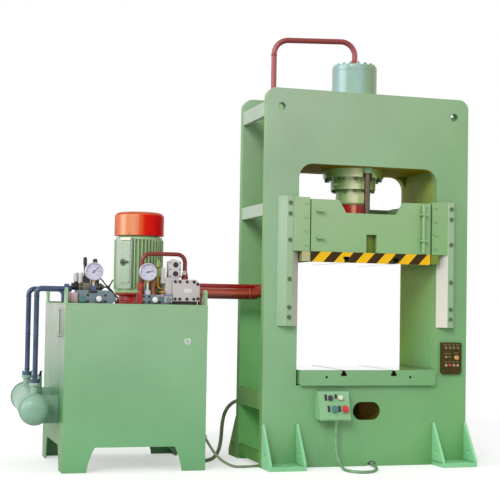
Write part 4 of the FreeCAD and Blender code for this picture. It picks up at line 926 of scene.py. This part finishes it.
bush = turned("terminal_bush", [(0.027, 0), (0.027, 0.006), (0.024, 0.009), (0.0225, 0.009)], 36, FRONT,
              (0, -0.180, 1.450))
hang(bush, motor_enamel, face=MOTOR_FACE)
grip = slab("terminal_grip", (0.020, -0.1990, 1.452), (0.060, 0.010, 0.012), 0.003)
hang(grip, eye_green, face=MOTOR_FACE)
turned_set("flange_screws", [(0.016, -0.001), (0.016, 0.002), (0.0125, 0.0022), (0.0125, 0.010),
                             (0.0110, 0.0115)], 6, UP,
           [Matrix.Rotation(math.radians(60 * i), 4, "Z") @ Matrix.Translation((0, 0.157, 1.258))
            for i in (-2, -1, 0, 1, 2)],
           screw_shade_enamel, MOTOR_FACE)

# ------------------------------------------------------------------ fan cowl
# The motor's pressed-steel fan cowl, slotted on top and sprayed glossy orange-red. Pale orange painted
# highlights run across its left half, and screws hold it to the end ring.
cowl_enamel = worn("cowl_enamel", None, (34, 0.30, 0.38), (260, 0.03, 0.0004), shine=0.12)
base_across(cowl_enamel, ACROSS_THE_VIEW, -1.585 - 0.179, -1.585 + 0.179, [
    (0.0, (190, 84, 38)), (0.11, (218, 120, 78)), (0.21, (238, 176, 142)), (0.31, (218, 138, 94)),
    (0.42, (228, 146, 110)), (0.50, (224, 134, 94)), (0.57, (222, 86, 44)), (0.67, (218, 22, 2)),
    (0.80, (216, 2, 0)), (1.0, (206, 2, 0))])
crown_orange = worn("crown_orange", ((176, 66, 30), (204, 100, 62), 9), (34, 0.32, 0.42), (260, 0.03, 0.0004),
                    shine=0.2)
cowl = refined("fan_cowl", cowl_enamel, 0.0012, sharp=50)
face_finish(cowl, crown_orange, lambda c, n: n.z > 0.5 and c.z > 1.79)
lip = turned("cowl_lip", [(0.1765, 0.0005), (0.1802, 0.0005), (0.1812, 0.003), (0.1802, 0.006),
                          (0.1785, 0.007)], 72, UP, (-1.626, 0.100, 1.645))
hang(lip, cowl_enamel)
turned_set("cowl_screws", [(0.007, 0), (0.007, 0.003), (0.0045, 0.005), (0.002, 0.005)], 16, RIGHT,
           [Matrix.Translation((-1.626, 0.100, 1.662)) @ Matrix.Rotation(math.radians(45 * i + 10), 4, "Z")
            @ Matrix.Translation((0.1785, 0, 0)) for i in range(8)],
           cowl_enamel)


# ------------------------------------------------------------------ bell housing
# The cast bell between motor and tank, in the pipes' red enamel, screwed down to the cover.
def ring_of(count, radius, first=0.0):
    """Points round a circle, clockwise from above the middle."""
    angles = [math.radians(360 / count * i + first) for i in range(count)]
    return [(radius * math.sin(angle), radius * math.cos(angle)) for angle in angles]


bell_red = glossy_coat("bell_red", ((132, 10, 4), (168, 20, 8)), 0.34, 0.1)
refined("bell_housing", bell_red, 0.003, sharp=25)
turned_set("bell_screws", [(0.012, -0.001), (0.012, 0.008), (0.0105, 0.0095)], 6, UP,
           [(x, y, 1.170) for x, y in ring_of(8, 0.154)], screw_shade_enamel,
           Matrix.Translation(MOTOR_AXIS))

# ------------------------------------------------------------------ left valve block
# A blue-grey manifold with plugs and a tag, a stacked slide valve with end caps, two relief valves, and
# a pale junction box beside it.
MANIFOLD_FACE = -0.262
VALVE_FACE = -0.222
# Painted shade: these castings are darkened strongly where they are deep.
block_grey = enamel("block_grey", (122, 132, 142), (112, 128, 138), 1.15, 1.45, rough=0.42, shade_tone=(34, 36, 30),
                    depth=0.8, reach=0.05)
slide_grey = enamel("slide_grey", (126, 122, 104), (96, 98, 84), 1.23, 1.30, rough=0.46, shade_tone=(28, 28, 16),
                    depth=0.8, reach=0.05)
pale_cast = enamel("pale_cast", (206, 204, 202), (190, 188, 186), 1.30, 1.47, rough=0.36, shade_tone=(70, 66, 62),
                   depth=0.6, reach=0.03)
junction_paint = enamel("junction_paint", (198, 172, 172), (168, 140, 140), 1.15, 1.23, shade_tone=(60, 48, 46),
                        depth=0.7, reach=0.04)
dark_iron_and_shade = worn("dark_iron_and_shade", ((38, 36, 34), (64, 60, 56), 30), (70, 0.32, 0.52), (300, 0.15, 0.0004),
                 metal=0.4)
teal_paint = glossy_coat("teal_paint", ((66, 116, 116), (92, 142, 140)), 0.34, 0.3)
dark_green = glossy_coat("dark_green_paint", ((28, 58, 40), (42, 76, 54)), 0.34, 0.3)
lilac_paint = glossy_coat("lilac_paint", ((150, 134, 142), (172, 156, 164)), 0.34, 0.3)
left_block = refined("left_valve_block", block_grey, 0.0016, sharp=25)
face_finish(left_block, slide_grey, lambda c, n: c.z > 1.2425 and -2.103 < c.x)
# Painted shade: the lower relief drum is painted dark to stand for its shaded side.
face_finish(left_block, dark_iron_and_shade, lambda c, n: (
    c.z > 1.2925 and c.x > -2.10 or c.x < -2.103 and 1.235 < c.z < 1.302))
face_finish(left_block, pale_cast, lambda c, n: c.x < -2.09 and c.z >= 1.302)
face_finish(left_block, junction_paint, lambda c, n: c.x < -2.1255 and c.z < 1.2255)
for name, middle, size, finish in (
    ("left_teal_tag", (-2.093, -0.2640, 1.180), (0.045, 0.006, 0.035), teal_paint),
    ("left_green_tag", (-2.086, -0.2640, 1.1595), (0.056, 0.005, 0.011), dark_green),
    ("left_black_plate", (-2.018, -0.2635, 1.231), (0.060, 0.005, 0.018), dark_iron_and_shade),
    ("right_lilac_tag", (-1.546, -0.2640, 1.211), (0.056, 0.006, 0.016), lilac_paint),
    ("right_teal_tag", (-1.529, -0.2640, 1.186), (0.021, 0.006, 0.028), teal_paint),
    ("right_pale_flange", (-1.486, -0.2640, 1.187), (0.052, 0.006, 0.042), pale_cast),
    ("right_red_end", (-1.6885, -0.2640, 1.188), (0.044, 0.006, 0.066), bell_red),
    ("box_lid", (-2.161, -0.2835, 1.190), (0.060, 0.004, 0.060), junction_paint),
):
    hang(slab(name, middle, size, 0.0012), finish)
spots = [(x, MANIFOLD_FACE, z) for x in (-2.052, -1.930) for z in (1.166, 1.208)]
spots += [(x, MANIFOLD_FACE, z) for x in (-1.660, -1.620) for z in (1.166, 1.206)]
spots += [(-1.545, MANIFOLD_FACE, 1.166), (-1.466, MANIFOLD_FACE, 1.160)]
spots += [(x, VALVE_FACE, z) for x in (-2.092, -1.974) for z in (1.254, 1.280)]
turned_set("manifold_plugs", [(0.0085, -0.001), (0.0085, 0.0035), (0.0074, 0.0050), (0.0042, 0.0050),
                              (0.0040, 0.0012)], 18, FRONT, spots, dark_iron_and_shade)
cap = turned("relief_cap", [(0.0165, 0), (0.0165, 0.052), (0.0150, 0.060), (0.0110, 0.066), (0.0060, 0.068)],
             30, UP, (-2.094, -0.2040, 1.296))
hang(cap, pale_cast)
for name, route, radius in (
    ("relief_drain", [(-1.969, -0.188, 1.326), (-1.944, -0.190, 1.322), (-1.922, -0.190, 1.284),
                      (-1.892, -0.190, 1.262), (-1.852, -0.190, 1.222), (-1.840, -0.190, 1.152)], 0.0045),
    ("drain_handle", [(-1.900, -0.196, 1.266), (-1.884, -0.198, 1.286), (-1.868, -0.200, 1.318)], 0.0052),
):
    bent = tube(name, route, radius, 4, 6)
    take_only(bent)
    bpy.ops.object.convert(target="MESH")
    bpy.ops.object.shade_smooth_by_angle(angle=SMOOTH_BELOW)
    hang(bent, dark_iron_and_shade)
cock = turned("drain_cock", [(0.010, 0), (0.012, 0.004), (0.012, 0.016), (0.009, 0.020)], 20, FRONT,
              (-1.898, -0.182, 1.266))
hang(cock, dark_iron_and_shade)

# ------------------------------------------------------------------ right valve block
# A manifold, a pale cast cover with eight dark screws and a blank plate, and a solenoid valve with two
# sockets above it.
cover_cast = enamel("cover_cast", (198, 190, 190), (196, 188, 188), 1.15, 1.34, shade_tone=(88, 76, 66), depth=0.6,
                    reach=0.03)
blank_white = moulded("blank_white", (214, 210, 218), (230, 228, 234), 0.34, 0.2)
valve_green = glossy_coat("valve_green", ((124, 150, 84), (160, 178, 98)), 0.36, 0.2)
rust_paint = glossy_coat("rust_paint", ((146, 66, 30), (176, 92, 48)), 0.34, 0.3)
orange_paint = glossy_coat("orange_paint", ((164, 44, 20), (196, 78, 44)), 0.32, 0.2)
brass = ground_steel("brass", (186, 148, 60), 0.30)
right_block = refined("right_valve_block", block_grey, 0.0016, sharp=25)
face_finish(right_block, cover_cast, lambda c, n: c.x > -1.4506 and 1.1755 < c.z < 1.3325 and c.y < -0.111)
face_finish(right_block, dark_iron_and_shade, lambda c, n: c.x > -1.4405 and c.z < 1.1755)
face_finish(right_block, cover_cast, lambda c, n: c.y > -0.111 and c.x > -1.412)
face_finish(right_block, pale_cast, lambda c, n: (
    c.z > 1.3425 and c.x > -1.4745 or c.x < -1.4995 and c.z > 1.29))
turned_set("cover_bolts", [(0.0105, -0.001), (0.0105, 0.005), (0.0092, 0.0065), (0.0052, 0.0065),
                           (0.0048, 0.0020)], 20, FRONT,
           [(x, MANIFOLD_FACE, z) for x, z in (
               (-1.402, 1.314), (-1.350, 1.314), (-1.300, 1.314), (-1.272, 1.298), (-1.402, 1.192),
               (-1.350, 1.192), (-1.300, 1.192), (-1.436, 1.314), (-1.436, 1.192), (-1.270, 1.196))],
           dark_iron_and_shade)
blank = slab("cover_blank_plate", (-1.344, -0.2628, 1.251), (0.054, 0.002, 0.028), 0.0008, 1)
hang(blank, blank_white)
turned_set("solenoid_sockets", [(0.0185, -0.001), (0.0185, 0.004), (0.0165, 0.006), (0.0130, 0.006),
                                (0.0125, 0.001)], 30, FRONT,
           [(-1.4254, VALVE_FACE, z) for z in (1.434, 1.3705)], dark_iron_and_shade)
turned_set("coil_screws", [(0.0045, -0.001), (0.0045, 0.002), (0.0035, 0.003), (0.0018, 0.003)], 14, FRONT,
           [(x, VALVE_FACE, z) for x in (-1.464, -1.394) for z in (1.352, 1.402, 1.448)],
           dark_iron_and_shade)
valve_body = slab("branch_valve_body", (-1.531, -0.197, 1.376), (0.034, 0.018, 0.060), 0.003)
hang(valve_body, valve_green)
for name, rings, sides, heading, place, finish, slot in (
    ("rust_union", [(0.016, 0), (0.016, 0.020), (0.011, 0.021), (0.011, 0.062), (0.018, 0.063),
                    (0.018, 0.095), (0.010, 0.100)], 24, UP,
     (-1.578, -0.196, 1.2195), rust_paint, "pipe_red"),
    ("brass_nipple", [(0.007, 0), (0.007, 0.010), (0.011, 0.011), (0.011, 0.030), (0.007, 0.031),
                      (0.007, 0.045)], 20, RIGHT, (-1.545, -0.238, 1.236), brass, "gauge_steel"),
    ("arch_nut", [(0.020, 0), (0.020, 0.034), (0.026, 0.036), (0.026, 0.078), (0.020, 0.082)], 6, UP,
     (-1.666, -0.180, 1.2195), orange_paint, "pipe_red"),
):
    hang(turned(name, rings, sides, heading, place), finish)

# ------------------------------------------------------------------ pressure gauges
# Two glycerine gauges: spun steel cases on pale stems, lavender-white dials with ticks and numbers, and
# dark pointers that turn on their pins.
DIAL_Y = -0.2524
NUMBER_RADIUS = 0.036
TICK_RADIUS = 0.0520
DIAL_START = 225
case_steel = worn("case_steel", ((184, 180, 194), (204, 200, 212), 20), (60, 0.24, 0.36), (200, 0.05, 0.0003),
                  metal=0.2)
dial_white = worn("dial_white", ((204, 202, 222), (212, 210, 228), 12), (60, 0.26, 0.36))
stem_pale = moulded("stem_pale", (186, 168, 166), (210, 196, 194), 0.34, 0.1)
foot_blue = glossy_coat("foot_blue", ((58, 76, 120), (84, 100, 140)), 0.36, 0.2)
ink = worn("dial_ink", ((110, 108, 132), (128, 126, 150), 200), 0.4)
pointer_blue = worn("pointer_blue", ((68, 70, 104), (86, 88, 122), 200), 0.4)
for side, x, z, foot in (("left", -2.011, 1.372, foot_blue), ("right", -1.629, 1.377, case_steel)):
    case = refined(side + "_gauge", case_steel, 0.0010, sharp=25)
    face_finish(case, dial_white, lambda c, n: n.y < -0.9 and -0.2535 < c.y < -0.2505 and c.z > 1.30)
    face_finish(case, stem_pale, lambda c, n: 1.272 < c.z < 1.309)
    face_finish(case, foot, lambda c, n: c.z <= 1.272)
    pin = Matrix.Translation((x, DIAL_Y, z))
    marks = []
    for size, main in (((0.0085, 0.0004, 0.0013), True), ((0.0045, 0.0004, 0.0007), False)):
        mark = slab("mark", (TICK_RADIUS - size[0] / 2, 0, 0), size, 0.0001, 1)
        spots = [pin @ Matrix.Rotation(math.radians(9 * i - DIAL_START), 4, "Y")
                 for i in range(31) if (i % 5 == 0) == main]
        marks.append(set_out(mark, "marks", spots))
    for i in range(7):
        angle = math.radians(DIAL_START - 45 * i)
        bpy.ops.object.select_all(action="DESELECT")
        bpy.ops.object.text_add(location=(0, 0, 0))
        number = bpy.context.object
        number.data.body = str(5 * i)
        number.data.size = 0.0115
        number.data.align_x = "CENTER"
        number.data.align_y = "CENTER"
        number.data.extrude = 0.0002
        bpy.ops.object.convert(target="MESH")
        spot = (NUMBER_RADIUS * math.cos(angle), 0, NUMBER_RADIUS * math.sin(angle))
        number.data.transform(pin @ Matrix.Translation(spot) @ Matrix.Rotation(math.pi / 2, 4, "X"))
        marks.append(number)
    hang(joined(marks, side + "_gauge_marks"), ink)
    pointer = side + "_gauge_pointer"
    refined(pointer, pointer_blue, 0.0003, body=pointer + "_part", steps=1)
    nut = turned(side + "_gauge_nut", [(0.012, 0), (0.0135, 0.002), (0.0135, 0.012), (0.012, 0.014)], 6, UP,
                 (x, -0.241, 1.300))
    hang(nut, brass)

# ------------------------------------------------------------------ valve knobs
# Two black relief-valve knobs with grips on their rims, and two pale isolator knobs on the manifolds.
pale_moulding = moulded("pale_moulding", (226, 224, 230), (240, 238, 242))


def knob_grips(node, middle, axis, count, out, size, eased, finish):
    """Grips all round a knob, which turn with it."""
    rib = slab("grip", (out, 0, 0), size, eased, 1)
    spots = [Matrix.Translation(middle) @ Matrix.Rotation(math.tau / count * i, 4, axis)
             for i in range(count)]
    hang(set_out(rib, node + "_grips", spots), finish, node + "_part")


for node, x, out, low, high in (("tall_relief_knob", -2.064, 0.012, 1.4125, 1.472),
                                ("short_relief_knob", -1.994, 0.015, 1.4245, 1.462)):
    refined(node, black_moulding, 0.0012, body=node + "_part", sharp=25)
    rib_size = (0.0022, 0.0030, high - low - 0.013)
    knob_grips(node, (x, -0.188, (low + high) / 2), "Z", 14, out, rib_size, 0.0006, black_moulding)
for node, x in (("left_isolator_knob", -1.978), ("right_isolator_knob", -1.583)):
    refined(node, pale_moulding, 0.0014, body=node + "_part", sharp=25, steps=3)
    knob_grips(node, (x, -0.2835, 1.183), "Y", 12, 0.0198, (0.0026, 0.0070, 0.0040), 0.0008,
               pale_moulding)

# ------------------------------------------------------------------ valve pipes
# A dark red arch over the right group, a brass branch with its green valve, a rust-coloured elbow and a
# thin black drain tube.
arch_red = glossy_coat("arch_red", ((110, 18, 6), (134, 28, 12)), 0.34, 0.15)
lines = refined("valve_pipes", arch_red, 0.0010, sharp=50)
face_finish(lines, brass, lambda c, n: -1.56 < c.x < -1.499 and c.z < 1.4165)
face_finish(lines, valve_green, lambda c, n: -1.56 < c.x < -1.52 and 1.4165 <= c.z < 1.47)
face_finish(lines, rust_paint, lambda c, n: c.x > -1.262)
face_finish(lines, dark_iron_and_shade, lambda c, n: c.x < -1.80)
BRANCH_NUT = [(0.0125, 0), (0.0140, 0.002), (0.0140, 0.016), (0.0125, 0.018)]
for rings, sides, place, finish, slot in (
    ([(0.0152, 0), (0.0172, 0.003), (0.0172, 0.012), (0.0152, 0.015)], 24, (-1.657, -0.180, 1.300),
     arch_red, "pipe_red"),
    ([(0.0190, 0), (0.0205, 0.003), (0.0205, 0.020), (0.0165, 0.024)], 6, (-1.348, -0.180, 1.362),
     arch_red, "pipe_red"),
    (BRANCH_NUT, 6, (-1.541, -0.180, 1.396), brass, "gauge_steel"),
    (BRANCH_NUT, 6, (-1.541, -0.180, 1.290), brass, "gauge_steel"),
):
    hang(turned("nut", rings, sides, UP, place), finish)
bleed = turned("bleed_screw", [(0.015, 0), (0.015, 0.010), (0.010, 0.012), (0.009, 0.006)], 20, FRONT,
               (-1.356, -0.200, 1.378))
hang(bleed, stem_pale)

# ------------------------------------------------------------------ oil cooler
# A tube cooler on two saddles: teal-green shell, domed heads screwed to end rings, flanged ports and two
# water stubs.
COOLER_X = -2.388
COOLER_PLACE = Matrix.Translation((COOLER_X, 0.075, 0.444)) @ Matrix.Rotation(math.atan(0.1), 4, "X")
PORT_RADIUS = 0.0305
cooler_enamel = enamel("cooler_enamel", (138, 170, 152), (130, 172, 148), 0.33, 0.62, rough=0.36, depth=0.45,
                       reach=0.08, coat=0.1)
refined("oil_cooler", cooler_enamel, 0.0025, sharp=25)
for side, heading, turn in (("front", FRONT, 1), ("rear", REAR, -1)):
    turned_set(f"cooler_{side}_bolts", [(0.0085, -0.010), (0.0085, 0.0045), (0.0075, 0.0055)], 6, heading,
               [(turn * x, turn * -0.2695, z) for x, z in ring_of(12, 0.1015, 15)],
               cooler_enamel, COOLER_PLACE)
turned_set("port_bolts", [(0.0065, -0.002), (0.0065, 0.004), (0.0055, 0.005)], 6, UP,
           [(COOLER_X + a * PORT_RADIUS, y + b * PORT_RADIUS, top)
            for y, top in ((-0.150, 0.624), (0.300, 0.652)) for a, b in ((1, 0), (-1, 0), (0, 1), (0, -1))],
           screw_shade_enamel)
turned_set("cooler_straps", [(0.1022, 0), (0.1046, 0.001), (0.1046, 0.025), (0.1022, 0.026)], 64, REAR,
           [(0, y, 0) for y in (-0.178, 0.152)], cooler_enamel, COOLER_PLACE)

# ------------------------------------------------------------------ water levers
# The two ball-valve handles on the water stubs: bent steel strip dipped in blue plastic, held by a nut.
lever_blue = moulded("lever_blue", (30, 44, 92), (46, 64, 118), 0.32)
for node, y in (("front_water_lever", -0.060), ("rear_water_lever", 0.230)):
    refined(node, lever_blue, 0.0012, body=node + "_part", sharp=25)
    nut = turned(node + "_nut", [(0.008, 0), (0.008, 0.006), (0.006, 0.0075), (0.003, 0.0075)], 6, UP,
                 (-2.342, y, 0.6525))
    hang(nut, bright_zinc, node + "_part")

# ------------------------------------------------------------------ cooler pipes
# Two navy oil pipes that rise from the cooler's ports and cross to the valves and the tank, with flanges,
# weld rings and a grey union.
navy = glossy_coat("navy_enamel", ((28, 48, 82), (50, 76, 112)), 0.28, 0.35)
union_navy = glossy_coat("union_navy", ((24, 34, 74), (38, 52, 104)), 0.34, 0.2)
cooler_lines = refined("cooler_pipes", navy, 0.0015, sharp=50)
face_finish(cooler_lines, union_navy, lambda c, n: c.x > -2.2005 and c.z > 1.21 and c.y < -0.11)
turned_set("cooler_pipe_rings", [(0.018, 0), (0.0205, 0.003), (0.0205, 0.009), (0.018, 0.012)], 28, UP,
           [(COOLER_X, y, z) for y, low in ((-0.150, 0.640), (0.300, 0.668)) for z in (low, 0.920, 1.190)],
           navy)

size = {"cad": [list(corner) for corner in cad_box], "visual": [list(corner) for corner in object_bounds()]}
